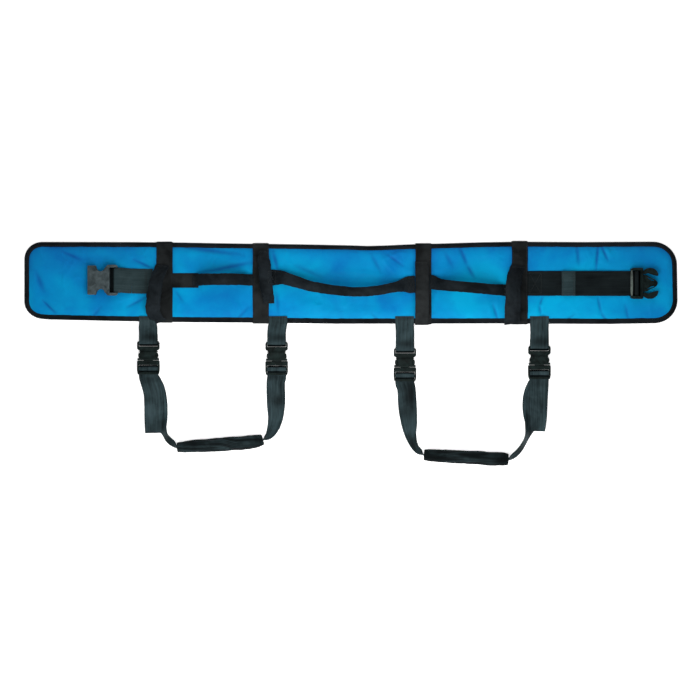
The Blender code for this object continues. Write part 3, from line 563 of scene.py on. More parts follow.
def slab(name, xa, xb, inset, step, rows, top, low, mat):
    """A closed cloth slab between two height functions over part of the panel."""
    xs = columns(xa, xb, inset, step)
    n = rows + 1
    upper, under = [], []
    for x in xs:
        h = half_height(x, inset)
        for k in range(n):
            y = -h + 2 * h * k / rows
            upper.append(spot(x, y, top(x, y)))
            under.append(spot(x, y, low(x, y)))
    verts = upper + under
    base = len(upper)
    faces = []
    for i in range(len(xs) - 1):
        for k in range(rows):
            a = i * n + k
            faces.append([a, a + n, a + n + 1, a + 1])
            faces.append([base + a, base + a + 1, base + a + n + 1, base + a + n])
        a, b = i * n, (i + 1) * n
        faces.append([a, base + a, base + b, b])
        a, b = i * n + rows, (i + 1) * n + rows
        faces.append([a, b, base + b, base + a])
    last = (len(xs) - 1) * n
    for k in range(rows):
        faces.append([k, k + 1, base + k + 1, base + k])
        faces.append([last + k, base + last + k, base + last + k + 1, last + k + 1])
    uvs = [(verts[v][0], verts[v][1]) for f in faces for v in f]
    obj = make(name, verts, faces, mat, uvs, sharp=70)
    if mat == COVER:
        # painted shade for the cover's colour, one value for each vertex of its front, none on its back
        painted_shades = []
        for x in xs:
            h = half_height(x, inset)
            painted_shades += [cover_painted_shade(x, -h + 2 * h * k / rows) for k in range(n)]
        store(obj.data, "fold", painted_shades + [0.0] * base)
    return obj


STEP = 2.0
ROWS = 84
LEFT = ("panel", "flap_left", (-0.426, 0, 0), (-0.446, 0, 0))
RIGHT = ("panel", "flap_right", (0.398, 0, 0), (0.418, 0, 0))


def bend(obj):
    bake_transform(obj)


def cover_low(x, y):
    return 1.2 if edge_distance(x, y) < 14 else 0.95


def back_top(x, y):
    return 0.8


def back_low(x, y):
    d = edge_distance(x, y)
    return 0.02 + 0.1 * abs(fractal(x / 50, y / 40, 7.7, 2)) * min(1.0, (d - 8) / 12 if d > 8 else 0)


# the backing's sides lie this far inside the outline, and its end this far inside the cover's end
BACK_IN = 9.3
for tag, xa, xb, zone, nodes in (
        ("left", -645.0, SEAM_X, LEFT, ("left", "middle")), ("right", SEAM_X, 645.0, RIGHT, ("right",))):
    pad = slab("padded_cover_" + tag, xa, xb, 5.0, STEP, ROWS, face_z, cover_low, COVER)
    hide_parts(*["front_cover_" + n for n in nodes], *["foam_core_" + n for n in nodes])
    bend(pad)
    back = slab("backing_" + tag, xa + BACK_IN * (tag == "left"), xb - BACK_IN * (tag == "right"),
                BACK_IN, 10.0, 16, back_top, back_low, BACKING)
    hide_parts(*["back_cover_" + n for n in nodes])
    bend(back)


# ---- binding tape round the edge
def outline(side, step):
    """Points and inward normals of the straightened outline, from the seam round one end and back."""
    r = CORNERS[side]
    end = X0 if side < 0 else X1
    run, rise = abs(end - SEAM_X) - r, 2 * (HALF_Y - r)
    n, m = int(run / step), int(rise / step)
    cx, cy = end - side * r, HALF_Y - r
    turns = max(8, int(r * pi / 2 / (step * 0.6)))
    angles = [pi / 2 * i / turns for i in range(turns)]
    pts = [(SEAM_X + side * run * i / n, HALF_Y, 0.0, -1.0) for i in range(n)]
    pts += [(cx + side * r * sin(a), cy + r * cos(a), -side * sin(a), -cos(a)) for a in angles]
    pts += [(end, cy - rise * i / m, -side, 0.0) for i in range(m)]
    pts += [(cx + side * r * cos(a), -cy - r * sin(a), -side * cos(a), sin(a)) for a in angles]
    pts += [(cx - side * run * i / n, -HALF_Y, 0.0, 1.0) for i in range(n + 1)]
    return pts


TAPE = [(10.2, 4.35), (9.9, 4.95), (8.6, 5.2), (7.8, 4.95), (7.0, 5.2), (4.6, 5.3), (2.4, 5.1), (0.9, 4.4),
        (0.15, 3.3), (0.0, 2.4),
        (0.2, 1.3), (0.9, 0.45), (2.4, 0.12), (5.0, 0.06), (10.1, 0.06), (10.1, 0.5), (5.0, 0.6),
        (2.6, 0.8), (1.6, 2.4),
        (2.6, 3.9), (5.0, 4.1), (9.4, 4.1)]


def tape(tag, side, nodes):
    pts = outline(side, 3.0)
    verts = []
    count = len(TAPE)
    lengths = [0.0]
    for a, b in zip(pts, pts[1:]):
        lengths.append(lengths[-1] + sqrt((a[0] - b[0]) ** 2 + (a[1] - b[1]) ** 2))
    for (x, y, nx, ny), s in zip(pts, lengths):
        wave = 0.45 * noise_at(s / 14.0, side * 3.0, 0.5) + 0.25 * noise_at(s / 5.0, 1.0, 2.5)
        lift = 0.22 * noise_at(s / 9.0, side * 5.0, 6.5)
        for d, z in TAPE:
            far = d / 10.0
            dd = d + wave * far
            px, py = x + nx * dd, y + ny * dd
            zz = z + (lift * far if z > 2.6 else 0.0)
            if z > 4.2 and d > 6:
                zz += 0.25
            verts.append(spot(px, py, max(zz, 0.03)))
    per = [0.0]
    for k in range(count):
        a, b = TAPE[k], TAPE[(k + 1) % count]
        per.append(per[-1] + sqrt((a[0] - b[0]) ** 2 + (a[1] - b[1]) ** 2) * MM)
    last = (len(pts) - 1) * count
    faces = tube_faces(len(pts), count) + [list(range(count)), list(range(last, last + count))[::-1]]
    uvs = tube_uvs(per, [s * MM for s in lengths]) + [(u, 0.0) for u in per[:-1]] * 2
    obj = make("binding_tape_" + tag, verts, faces, BINDING, uvs)
    fix_normals(obj)
    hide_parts(*nodes)
    bend(obj)
    return pts


# ---- stitching
def stitches(name, lines, pitch=3.6, thick=0.34, body=None):
    """Real sewing thread: short humped stitches along each line of (x, y, z) points in millimetres."""
    verts, faces = [], []
    for line in lines:
        line = np.asarray(line, float)
        seg = np.linalg.norm(np.diff(line, axis=0), axis=1)
        total = np.concatenate([[0], np.cumsum(seg)])
        n = int(total[-1] / pitch)
        for i in range(n):
            marks = []
            for f in (0.08, 0.3, 0.7, 0.92):
                s = (i + f) * pitch
                marks.append([np.interp(s, total, line[:, k]) for k in range(3)])
            marks = np.array(marks)
            run = unit(marks[-1] - marks[0])
            up = np.array([0, 0, 1.0])
            side = unit(np.cross(run, up))
            up = np.cross(side, run)
            base = len(verts)
            for j, (lift, size) in enumerate(((-0.3, 0.55), (0.12, 1.0), (0.12, 1.0), (-0.3, 0.55))):
                c = marks[j] + up * lift
                for k in range(5):
                    a = 2 * pi * k / 5
                    p = c + side * (cos(a) * thick * size) + up * (sin(a) * thick * size)
                    verts.append(p * MM)
            faces += tube_faces(4, 5, base)
            faces += [list(range(base, base + 5)), list(range(base + 15, base + 20))[::-1]]
    obj = make(name, verts, faces, THREAD)
    if body:
        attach(obj, body)
    else:
        bend(obj)


# the seam lies this far in from the outline
SEAM_IN = 7.8
for tag, side, zone, nodes in (
        ("left", -1, LEFT, ("binding_left", "binding_middle_top", "binding_middle_bottom")),
        ("right", 1, RIGHT, ("binding_right",))):
    line = []
    for x, y, nx, ny in tape(tag, side, nodes):
        px, py = x + nx * SEAM_IN, y + ny * SEAM_IN
        line.append((warp_x(px, py), warp_y(px, py), 5.25))
    stitches("binding_stitching_" + tag, [line])

# ---- webbing bands across the panel
def over_edge(side):
    """Height path of a band near one edge: down over the binding and round it."""
    return [(side * y, z) for y, z in ((81.0, 1.2), (80.9, 3.2), (80.2, 5.2), (78.6, 6.2), (75.0, 6.35))]


BAND_HALF = 16.2


def band(name, x):
    ys = [-70, -64, -56, -44, -28, -10, 10, 28, 44, 56, 64, 70]
    path = over_edge(-1)
    path += [(y, face_z(x, y, False) + 1.0 + (0.55 if abs(y) > 66 else 0.0)) for y in ys]
    path += over_edge(1)[::-1]
    rows = []
    for y, z in path:
        drift = 0.9 * noise_at(x, y / 30.0, 0.6)
        ease = 0.7 * noise_at(x, y / 22.0, 5.6)
        rows.append((x + drift, warp_y(x, y), z, 1, 0, 0, BAND_HALF + ease, 0.75))
    ripple = lambda s, u, v, hw: 0.00022 * noise_at(s * 55, u * 1.2, x) * (1 if v > 0 else 0.4)
    obj = sweep(name + "_webbing", rows, ring_web(), BAND, shape=ripple)
    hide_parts(name)
    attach(obj, "panel")
    lines = []
    for u in (-1, 1):
        seam_x = x + u * (BAND_HALF - 2.6)
        lines.append([(seam_x, warp_y(x, y), face_z(x, y, False) + 1.95 + 0.5 * (abs(y) > 66))
                      for y in np.linspace(-72, 72, 60)])
    return lines


band_lines = []
for name, x in BANDS.items():
    band_lines += band(name, x)
stitches("band_stitching", band_lines, body="panel")


# ---- placing thread on finished cloth
def tree_of(*objs):
    verts, polys = [], []
    for obj in objs:
        base = len(verts)
        verts += [v.co.copy() for v in obj.data.vertices]
        polys += [[base + i for i in p.vertices] for p in obj.data.polygons]
    return BVHTree.FromPolygons(verts, polys)


def on_top(tree, line, lift=0.2, pace=1.5):
    """A line of (x, y) in millimetres laid on the highest surface under it, sampled every pace."""
    out = []
    for (xa, ya), (xb, yb) in zip(line, line[1:]):
        n = max(2, int(sqrt((xb - xa) ** 2 + (yb - ya) ** 2) / pace))
        for i in range(n + 1):
            x, y = xa + (xb - xa) * i / n, ya + (yb - ya) * i / n
            hit = tree.ray_cast(Vector((x * MM, y * MM, 0.2)), Vector((0, 0, -1)))[0]
            if hit is not None:
                out.append((x, y, hit.z / MM + lift))
    return out


def box_cross(x, y, w, h):
    """The lines of an X in a box, the usual tack for webbing."""
    a, b = w / 2, h / 2
    return [[(x - a, y - b), (x + a, y - b), (x + a, y + b), (x - a, y + b), (x - a, y - b)],
            [(x - a, y - b), (x + a, y + b)], [(x - a, y + b), (x + a, y - b)]]


def weights(fine_count, ring_count, ends):
    """Blend weights of a piece sewn down at both ends: none at the tacks, whole between them. They are worked
    out but neither returned nor stored.
    """
    a0, a1, b0, b1 = ends
    w = np.zeros(fine_count * ring_count, np.float32)
    for i in range(fine_count):
        t = i / (fine_count - 1)
        w[i * ring_count:(i + 1) * ring_count] = smooth((t - a0) / (a1 - a0)) * smooth((b1 - t) / (b1 - b0))


# ---- hand grips
def quilted(seed, amount, seam=2.4):
    """Loose fabric round a soft core: cross folds and a sewn seam along one side."""
    def shape(s, u, v, hw):
        around = atan2(v, -u)
        c, d = cos(around), sin(around)
        cross = noise_at(s * 120.0, c * 0.9 + seed, d * 0.9)
        broad = noise_at(s * 38.0, c * 1.3 + seed, d * 1.3 + 5.0)
        fine = noise_at(s * 230.0, c * 2.2 + seed, d * 2.2)
        fold = max(0.0, 1.0 - abs(noise_at(s * 75.0 + c * 0.8, c * 1.5 + seed, d * 1.5 + 2.0)) * 3.2) ** 3
        groove = exp(-((around - seam) / 0.16) ** 2) * 0.55
        return amount * MM * (0.42 * cross + 0.5 * broad + 0.16 * fine + 0.55 * fold - groove)
    return shape


def grip(name, across, ends, amount, ring, mat, rows):
    """rows: x, y, z, half width, half thickness and, where it differs from across, the width's direction."""
    full = [(*row[:3], *(row[5:] or across), 0.0, *row[3:5]) for row in rows]
    seed = len(name) + rows[0][0] / 40
    obj = sweep(name + "_cover", full, ring, mat, FABRIC_STEP, shape=quilted(seed, amount))
    # the ends that lap the panel's edge lie on the surface, not in it
    co = coords(obj.data)
    co[:, 2] = np.maximum(co[:, 2], 0.1 * MM)
    obj.data.vertices.foreach_set("co", co.ravel())
    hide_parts(name)
    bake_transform(obj)
    weights(len(co) // len(ring), len(ring), ends)
    return obj


TUBE = ring_tube(32)
FABRIC_STEP = 0.0026
ACROSS_H, ACROSS_V = (0, 1), (1, 0)
# name: usual direction of the width, blend zones at both ends, depth of the folds, section, material, rows
GRIPS = {
    "grip_h1": (ACROSS_H, (0.04, 0.2, 0.8, 0.96), 1.0, TUBE, GRIP, [
        (-317, 2.4, 9.7, 12.6, 1.1), (-311, 2.6, 11.4, 12.4, 2.4), (-303, 3.2, 18, 12, 4.8),
        (-290, 3.5, 27.5, 11.6, 6.6), (-275, 3.5, 33, 11.5, 7.4), (-257, 3.5, 35.5, 11.5, 7.5),
        (-238, 3.5, 33, 11.5, 7.4), (-222, 3.5, 27, 11.4, 6.4), (-210, 3.3, 18, 11.2, 4.6),
        (-202, 3.0, 11.6, 11.2, 2.2), (-195, 3.0, 9.3, 11.2, 1.0)]),
    "grip_h2": (ACROSS_H, (0.09, 0.22, 0.82, 0.93), 1.05, TUBE, GRIP, [
        (-167, 7.3, 10.4, 16.0, 1.0), (-158, 7.6, 10.4, 15.8, 1.1), (-149, 8.0, 11.0, 15.0, 1.7),
        (-139, 7.6, 15, 13.6, 3.6, 0.1, 1), (-128, 4.6, 19.6, 12.4, 5.4, 0.25, 1),
        (-108, -1.6, 25, 11.4, 6.9, 0.25, 1), (-82, -9.4, 30.3, 10.4, 7.6, 0.24, 1),
        (-35, -18.0, 35, 9.6, 7.8, 0.14, 1), (13.6, -21.8, 35, 9.2, 7.8), (60, -17.5, 30, 9.6, 7.6, -0.1, 1),
        (84, -12.6, 23, 10.0, 6.3, -0.16, 1), (97, -9.6, 16, 11.4, 4.2, -0.16, 1),
        (106, -7.4, 11.4, 14.0, 2.0, -0.1, 1), (114, -6.4, 10.3, 16.4, 1.2), (128, -6.0, 10.2, 17.0, 1.0)]),
    "grip_h3": (ACROSS_H, (0.08, 0.24, 0.8, 0.94), 1.05, TUBE, GRIP, [
        (156, -1.2, 10.3, 15.2, 1.0), (163, -2.0, 10.4, 14.4, 1.2), (171, -4.6, 13.4, 12.4, 3.0, 0.1, 1),
        (181, -7.0, 20.5, 11.2, 5.2, 0.15, 1), (194, -8.8, 27.4, 10.8, 6.7, 0.1, 1),
        (212, -10.6, 32, 10.6, 7.4, 0.1, 1), (238, -12.8, 34, 10.6, 7.5, 0.1, 1),
        (264, -15.0, 31, 10.6, 7.3, 0.1, 1), (283, -16.6, 25, 10.6, 6.0, 0.06, 1),
        (295, -17.0, 17.4, 10.8, 3.8), (303, -17.3, 12.0, 11.2, 1.8), (311, -17.6, 10.2, 11.6, 1.0)]),
    "grip_v1": (ACROSS_V, (0.05, 0.2, 0.78, 0.94), 2.1, TUBE, GRIP, [
        (-377.4, 33, 10.9, 13.2, 0.9, 1, 0.06), (-378, 28, 12.4, 13.4, 1.7, 1, 0.06),
        (-381, 20, 19.4, 13.4, 3.4, 1, 0.05), (-385.6, 7, 28.4, 13.2, 4.8), (-388.6, -10, 34.3, 13.2, 5.4),
        (-391.4, -30, 34.8, 13.6, 5.4), (-394, -48, 30, 13.8, 4.8), (-394.6, -60, 22, 14.2, 3.6, 1, -0.12),
        (-391, -70, 14, 15.2, 2.2, 0.95, -0.3), (-386, -77.6, 8.8, 17.0, 1.2, 0.9, -0.42),
        (-383.6, -82, 6.9, 17.4, 0.8, 0.9, -0.43)]),
    "grip_v2": (ACROSS_V, (0.06, 0.24, 0.76, 0.94), 1.7, TUBE, GRIP, [
        (-175.4, 62, 10.9, 9.6, 0.9, 1, -0.04), (-175.2, 55, 13, 10.2, 2.2, 1, -0.05),
        (-173.8, 43, 21.5, 11.6, 4.8, 1, -0.08), (-171.4, 26, 29.5, 12.4, 6.2, 1, -0.1),
        (-169.6, 9, 32.6, 12.7, 6.6, 1, -0.1), (-168.0, -8, 30.8, 12.6, 6.6, 1, -0.1),
        (-166.4, -21, 25, 12.2, 5.6, 1, -0.12), (-165.0, -31, 17.6, 11.6, 3.8, 1, -0.12),
        (-164.2, -38, 12.2, 11.0, 1.9, 1, -0.1), (-164.0, -44, 10.9, 10.6, 0.9, 1, -0.06)]),
    "grip_v3": (ACROSS_V, (0.05, 0.2, 0.8, 0.94), 0.35, ring_web(14), BAND, [
        (141.3, 40, 10.9, 13.3, 1.0), (141.3, 33, 12.6, 13.3, 1.6), (141.3, 21, 22.5, 13.3, 2.4),
        (141.3, 8, 29.5, 13.3, 2.6), (141.3, -8, 34, 13.3, 2.6), (141.3, -26, 35, 13.3, 2.6),
        (141.3, -44, 31.8, 13.3, 2.6), (141.3, -60, 24, 13.3, 2.4), (141.3, -72, 14.5, 13.3, 1.8),
        (141.3, -80, 8.6, 13.3, 1.2), (141.3, -87, 6.6, 13.3, 1.0)]),
    "grip_v4": (ACROSS_V, (0.05, 0.2, 0.8, 0.94), 2.1, TUBE, GRIP, [
        (333.6, 32, 10.9, 13.6, 0.9), (332.6, 27, 12.6, 13.8, 1.7), (328.6, 18, 20.4, 14.2, 3.2, 1, 0.06),
        (324, 4, 29.5, 14.6, 4.2, 1, 0.05), (321.5, -14, 34, 14.9, 4.5), (321.5, -34, 34, 15.1, 4.5),
        (321.5, -52, 29, 15.1, 4.3), (322, -66, 20, 15.2, 3.2, 1, -0.06),
        (322, -75, 12.4, 15.6, 1.8, 0.98, -0.2), (322.8, -81.6, 8.0, 16.2, 1.1, 0.95, -0.3),
        (323.4, -85, 6.8, 16.4, 0.8, 0.95, -0.31)]),
}
grips = [grip(name, *spec) for name, spec in GRIPS.items()]

# the webbing that runs on from the first grip, flat on the panel, to the band beside it
anchor_rows = [(x, 2.1, face_z(x, 2.1, False) + 0.95, 0, 1, 0, 14.6, 0.65)
               for x in (-360, -348, -336, -324, -312, -305)]
anchor = sweep("grip_anchor_webbing", anchor_rows, ring_web(10), BAND)
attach(anchor, "panel")

bed = tree_of(*grips, anchor)
# rows of stitches that hold the grips down: from x, y to x, y
TACKS = [
    (158.5, -12.5, 158.5, 10), (161.5, -12, 161.5, 9.5), (306, -26, 306, -9), (308.6, -26, 308.6, -9),
    (-314.4, -7.5, -314.4, 12.5), (-311.8, -7.5, -311.8, 12.5), (-198, -6, -198, 12),
    (-389, 31.4, -366, 32.6), (-389, 28.6, -366, 29.8), (-183.5, 60.4, -167.5, 59.6),
    (-184, 57.6, -167, 56.8), (-173, -39.6, -155.5, -41.2), (-173, -42, -155.5, -43.4),
    (129.6, 37.6, 153, 37.6), (129.6, 34.8, 153, 34.8), (129.6, -82.4, 153, -82.4),
    (129.6, -79.6, 153, -79.6), (321.5, 30.6, 345.5, 30.6), (321.5, 28, 345.5, 28),
    (309.5, -78.5, 337.5, -87), (-398.5, -73.5, -370, -87)]
tacks = box_cross(-157.5, 7.6, 14, 24) + box_cross(120, -6.1, 12, 26)
tacks += [[(x0, y0), (x1, y1)] for x0, y0, x1, y1 in TACKS]
tack_lines = [line for line in (on_top(bed, t) for t in tacks) if len(line) > 2]
stitches("grip_tack_stitching", tack_lines, pitch=3.0, thick=0.32, body="panel")

# ---- waist webbing
HALF_50, HALF_38, WEB = 24.8, 18.7, 0.7


def lay(point, half, across):
    """A full row for sweep from x, y, z and, where it isn't half, the half width. A full row stays."""
    if len(point) > 4:
        return point
    return (*point[:3], *across, point[3] if len(point) > 3 else half, WEB)


def web(name, points, half, mat, step=0.002, across=(0, 1, 0)):
    """Flat webbing along (x, y, z[, half width]) points in millimetres."""
    rows = [lay(p, half, across) for p in points]
    shape = lambda s, u, v, hw: 0.00025 * noise_at(s * 32, u * 1.1 + points[0][0], 0.4)
    obj = sweep(name, rows, ring_web(14), mat, step, shape)
    return obj


def female_turn(v_frame, bar, slot_end, tail):
    """Over the fixed bar of a female half, down through its slot and back underneath."""
    b0, b1 = bar
    top, low, turn = 7.6 + 0.3 + WEB, 3.4 - 0.3 - WEB, slot_end - 1.1
    path = [(b0, top), (b1 - 0.4, top), (b1 + 0.9, top - 0.9), (b1 + 1.6, 6.2), (b1 + 2.4, 4.9),
            (turn - 1.3, 4.2), (turn, 2.9), (turn - 1.2, 1.8), (b1 + 0.6, low - 0.5), (b1 - 0.6, low),
            (b0, low),
            (-tail, low + 0.3)]
    return [v_frame(v, z) for v, z in path]


def shade_slots(obj, slots, patches=()):
    """Paints shade on webbing. slots: x0, x1, y0, y1 and the height, in millimetres, under which webbing
    counts as inside one and is painted dark.
    patches: centre x and y, reach in x and y, and strength of a stretch of painted shade."""
    x, y, z = (coords(obj.data) / MM).T
    painted_dark = np.zeros(len(x))
    for x0, x1, y0, y1, top in slots:
        inside = (x > x0) & (x < x1) & (y > y0) & (y < y1)
        painted_dark = np.where(inside, np.maximum(painted_dark, np.clip((top - z) / 1.6, 0.0, 1.0)), painted_dark)
    for px, py, rx, ry, strength in patches:
        painted_dark = np.maximum(painted_dark, strength * np.exp(-((x - px) / rx) ** 2 - ((y - py) / ry) ** 2))
    store(obj.data, "painted_dark", 0.9 * painted_dark)


def ladder_turn(v_frame, end, bars, lead, tail):
    """Through a male half: under the bars, up the inner slot, over the middle bar, down the outer slot."""
    b = bars
    m0, m1 = end - b[2], end - b[1]
    inner, outer, far = m0 - 1.15, m1 + 1.25, end - b[3] + 0.85
    path = [(end + lead, 1.4), (m1, 1.4), (far + 1.4, 1.4), (far + 0.3, 1.9), (far, 2.8),
            (0.5 * (far + inner), 4.3), (inner - 0.1, 5.6), (inner, 7.6), (inner + 0.4, 8.6),
            (m0 + 0.7, 9.1), (m1 - 0.5, 9.1),
            (outer - 0.5, 8.6),
            (outer, 7.5), (outer + 0.1, 5.6), (outer + 0.9, 4.2), (end - 4.2, 3.5), (end + tail, 3.4)]
    return [v_frame(v, z) for v, z in path]


BARS_50, BARS_38 = (5.4, 10.2, 14.6, 19.2), (5.0, 9.7, 14.2, 18.9)
END_50, END_38 = 85.3, 67.0
SLOT_38 = 19.1
FEMALE_X, MALE_X = -465.6, 558.0
on_left = lambda v, z: (FEMALE_X - v, 2.4, 7.9 + z)
on_right = lambda v, z: (MALE_X + END_50 - v, -4.0, 7.9 + z)

stub_l = web("waist_webbing_left_sewn", [(-396.4, 0.6, 9.3), (-405.6, 0.6, 9.4), (-414, 0.6, 9.5),
                                         (-424, 0.6, 9.6), (-437.5, 0.9, 9.7)], HALF_50, WAIST_WEB_SHEEN)
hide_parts("waist_stub_left")
bend(stub_l)
loop = female_turn(on_left, (0.8, 6.6), 16.0, 3.5)
main = [(-437.5, 0.9, 9.7), (-446, 1.4, 10.3), (-455, 2.0, 12.8), (-461, 2.4, 15.6)]
strap_l = web("waist_webbing_left", main + loop, HALF_50, WAIST_WEB_SHEEN)
# painted shade on the webbing inside the female's slot
shade_slots(strap_l, [(FEMALE_X - 16.5, FEMALE_X - 6.8, -26, 31, 16.0)])
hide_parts("waist_strap_left")
bend(strap_l)

stub_r = web("waist_webbing_right_sewn", [(353, -3.8, 9.5), (366, -3.8, 9.6), (384, -3.8, 9.6),
                                          (397, -3.8, 9.6), (409.5, -3.8, 9.7)], HALF_50, WAIST_WEB_SHADE)
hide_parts("waist_stub_right")
bend(stub_r)
loop = ladder_turn(on_right, END_50, BARS_50, 5.0, 12.0)
main = [(409.5, -3.8, 9.7), (440, -3.8, 9.6), (480, -3.9, 9.4), (520, -4.0, 9.3)]
tail = [(500, -4.0, 11.6), (470, -4.0, 11.7), (446, -4.0, 11.9), (420, -4.0, 12.0)]
strap_r = web("waist_webbing_right", main + loop + tail, HALF_50, WAIST_WEB_SHADE, WEB_STEP)
# painted shade on the webbing inside the plug's two slots
shade_slots(strap_r, [(MALE_X + b0 - 0.6, MALE_X + b1 + 0.6, -32, 24, 15.7)
                      for b0, b1 in (BARS_50[:2], BARS_50[2:])])
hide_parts("waist_strap_right")
bend(strap_r)
hem = web("waist_webbing_hem", [(448, -4.0, 13.2), (440, -4.0, 13.4), (421, -4.0, 13.4)],
          HALF_50 - 0.2, WAIST_WEB_SHEEN)
bend(hem)

bed = tree_of(stub_l)
stitches("waist_sewn_left_stitching", [on_top(bed, [(x, -22.5), (x, 23.5)]) for x in (-408.6, -411.6)],
         body="panel")
bed = tree_of(stub_r)
stitches("waist_sewn_right_stitching", [on_top(bed, line) for line in box_cross(368, -3.8, 24, 42)],
         body="panel")
bed = tree_of(hem)
stitches("waist_hem_stitching", [on_top(bed, [(x, -26.5), (x, 18.5)]) for x in (423.6, 443.8, 446.4)])

# ---- leg webbing
LEG_BUCKLES = {1: (-405.6, -119.0), 2: (-148.8, -120.2), 3: (108.0, -132.8), 4: (377.0, -128.2)}
TABS = {1: (-407.2, 17.0), 2: (-146.0, 18.6), 3: (107.2, 18.9), 4: (377.0, 19.0)}
AX = (1, 0, 0)
tab_lines = []
for number, (x, y) in LEG_BUCKLES.items():
    side = "left" if number < 3 else "right"
    tab_x, tab_half = TABS[number]
    down = lambda v, z, x=x, y=y: (x, y - v, z)
    points = [(tab_x, -69.4, 6.6, tab_half), (tab_x, -76, 6.7, tab_half), (tab_x, -82, 6.4, tab_half),
              (0.5 * (tab_x + x), -90, 6.3, HALF_38), (x, -102, 7.6), (x, y + 4.0, 8.5)]
    points += female_turn(down, (0.5, 4.5), 10.5, 14.0)
    hanger = web("leg_hanger_webbing_%d" % number, points, HALF_38, LEG_WEB, across=AX)
    # painted shade inside the slot, and on a stretch just above the buckle
    shade_slots(hanger, [(x - 22, x + 22, y - 11.0, y - 4.6, 8.2)], [(x + 3, y + 8, 22, 9, 0.75)])
    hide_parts("leg_tab_%d" % number, "leg_hanger_%d" % number)
    bend(hanger)
    bed = tree_of(hanger)
    tab_lines += [on_top(bed, [(tab_x - tab_half + 2, seam_y), (tab_x + tab_half - 2, seam_y)])
                  for seam_y in (-71.6, -75.2)]
stitches("leg_tab_stitching", tab_lines, pitch=3.2, body="panel")

SLEEVE_Z = 12.0
SLEEVES = {
    "left": [(-347, -332.0, 9.0, 9.5), (-339, -331.2, 9.8, 10.4), (-326, -329.8, 10.6, 10.8),
             (-290, -327.6, 11.2, 11.0), (-253, -325.3, 11.7, 11.2), (-215, -322.2, 12.0, 11.2),
             (-195, -320.2, 12.1, 11.0), (-182, -317.6, 11.2, 10.6), (-176, -316.0, 9.6, 9.6)],
    "right": [(146, -346.4, 10.4, 9.8), (154, -347.0, 11.4, 10.6), (176, -348.3, 12.0, 11.0),
              (208, -350.0, 12.4, 11.2), (240, -351.8, 12.6, 11.2), (272, -353.5, 12.7, 11.2),
              (298, -354.8, 12.6, 11.0), (308, -355.3, 12.0, 10.6), (314, -355.7, 10.8, 9.8)],
}


# painted shade on stretches of leg webbing: below the buckles, and where a strap turns beside its sleeve
SHADE_PATCHES = [(120, -224, 14, 36, 1.0), (108, -262, 30, 20, 0.6), (-144, -238, 16, 12, 0.75),
           (-150, -192, 24, 6, 0.5),
           (-364, -318, 12, 16, 0.8), (-378, -290, 8, 14, 0.6), (362, -300, 10, 26, 0.55),
           (336, -338, 16, 14, 0.7),
           (122, -322, 12, 18, 0.45), (-402, -196, 26, 6, 0.4), (377, -204, 26, 7, 0.4)]


def leg_strap(tag, first, second, tail_rows, head, foot, sleeve_rows, turn):
    """tail_rows, head and foot are points or full rows, which lay() completes."""
    x, y = LEG_BUCKLES[first]
    x2, y2 = LEG_BUCKLES[second]
    rows = [lay(p, HALF_38, AX) for p in tail_rows]
    rows += [lay(p, SLOT_38, AX)
             for p in ladder_turn(lambda v, z: (x, y - v, z), END_38, BARS_38, 5.0, 4.0)[::-1]]
    rows += [lay(p, HALF_38, AX) for p in head]
    rows += [(px, py, SLEEVE_Z, 0, 0.2 * turn, turn, 7.0, 1.5) for px, py, _, _ in sleeve_rows]
    rows += [lay(p, HALF_38, AX) for p in foot]
    rows += [lay(p, SLOT_38, AX)
             for p in ladder_turn(lambda v, z: (x2, y2 - v, z), END_38, BARS_38, 5.0, 1.5)]
    ripple = lambda s, u, v, hw: 0.0003 * noise_at(s * 26, u * 1.4 + first, 0.4)
    obj = sweep("leg_strap_webbing_" + tag, rows, ring_web(14), LEG_WEB, shape=ripple)
    # painted shade on the webbing inside both buckles' slots, and on the stretches listed above
    slots = []
    for number in (first, second):
        bx, by = LEG_BUCKLES[number]
        for b0, b1 in (BARS_38[:2], BARS_38[2:]):
            slots.append((bx - 22, bx + 22, by - END_38 + b0 - 0.6, by - END_38 + b1 + 0.6, 7.8))
    shade_slots(obj, slots, SHADE_PATCHES)
    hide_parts("leg_strap_" + tag)
    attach(obj, "leg_loop_" + tag)


leg_strap(
    "left", 1, 2,
    [(-394.3, -302.8, 14.2, 17.0), (-394.6, -289, 12.4, 17.6), (-395, -272, 8.6, 18.2),
     (-395.4, -245, 5.2), (-397, -222, 3.9), (-402.5, -202, 3.4)],
    [(-398.5, -202, 1.5), (-391.5, -216, 1.5), (-387, -238, 1.5), (-385.8, -258, 1.6),
     (-384, -273, 2.9, 1, 0.05, 0.06, 17.0, WEB),
     (-381, -283, 5.7, 0.97, 0.1, 0.2, 15.0, WEB), (-377.8, -291, 8.6, 0.84, 0.25, 0.44, 12.6, WEB),
     (-374.4, -299, 11.0, 0.58, 0.4, 0.71, 11.0, 0.8), (-370.4, -308, 11.8, 0.38, 0.5, 0.78, 9.8, 1.0),
     (-365.2, -315.6, 11.9, 0.4, 0.68, 0.61, 8.6, 1.3),
     (-356, -323.8, SLEEVE_Z, 0.3, 0.82, 0.49, 7.4, 1.5)],
    [(-170, -312.5, 11.8, 0.45, -0.45, 0.77, 7.4, 1.5),
     (-164.5, -308.4, 11.6, 0.6, -0.5, 0.62, 9.4, 1.2),
     (-158.8, -300, 10.8, 0.84, -0.35, 0.42, 11.6, 1.0), (-155, -291, 9.2, 0.94, -0.18, 0.3, 13.4, 0.8),
     (-152.4, -281, 7.2, 0.97, -0.08, 0.22, 14.8, WEB), (-150.8, -271, 5.2, 0.985, 0, 0.16, 15.8, WEB),
     (-150.2, -258, 3.0, 1, 0, 0.06, 17.2, WEB), (-150.2, -240, 1.6), (-150.4, -200, 1.4)],
    SLEEVES["left"], 1)
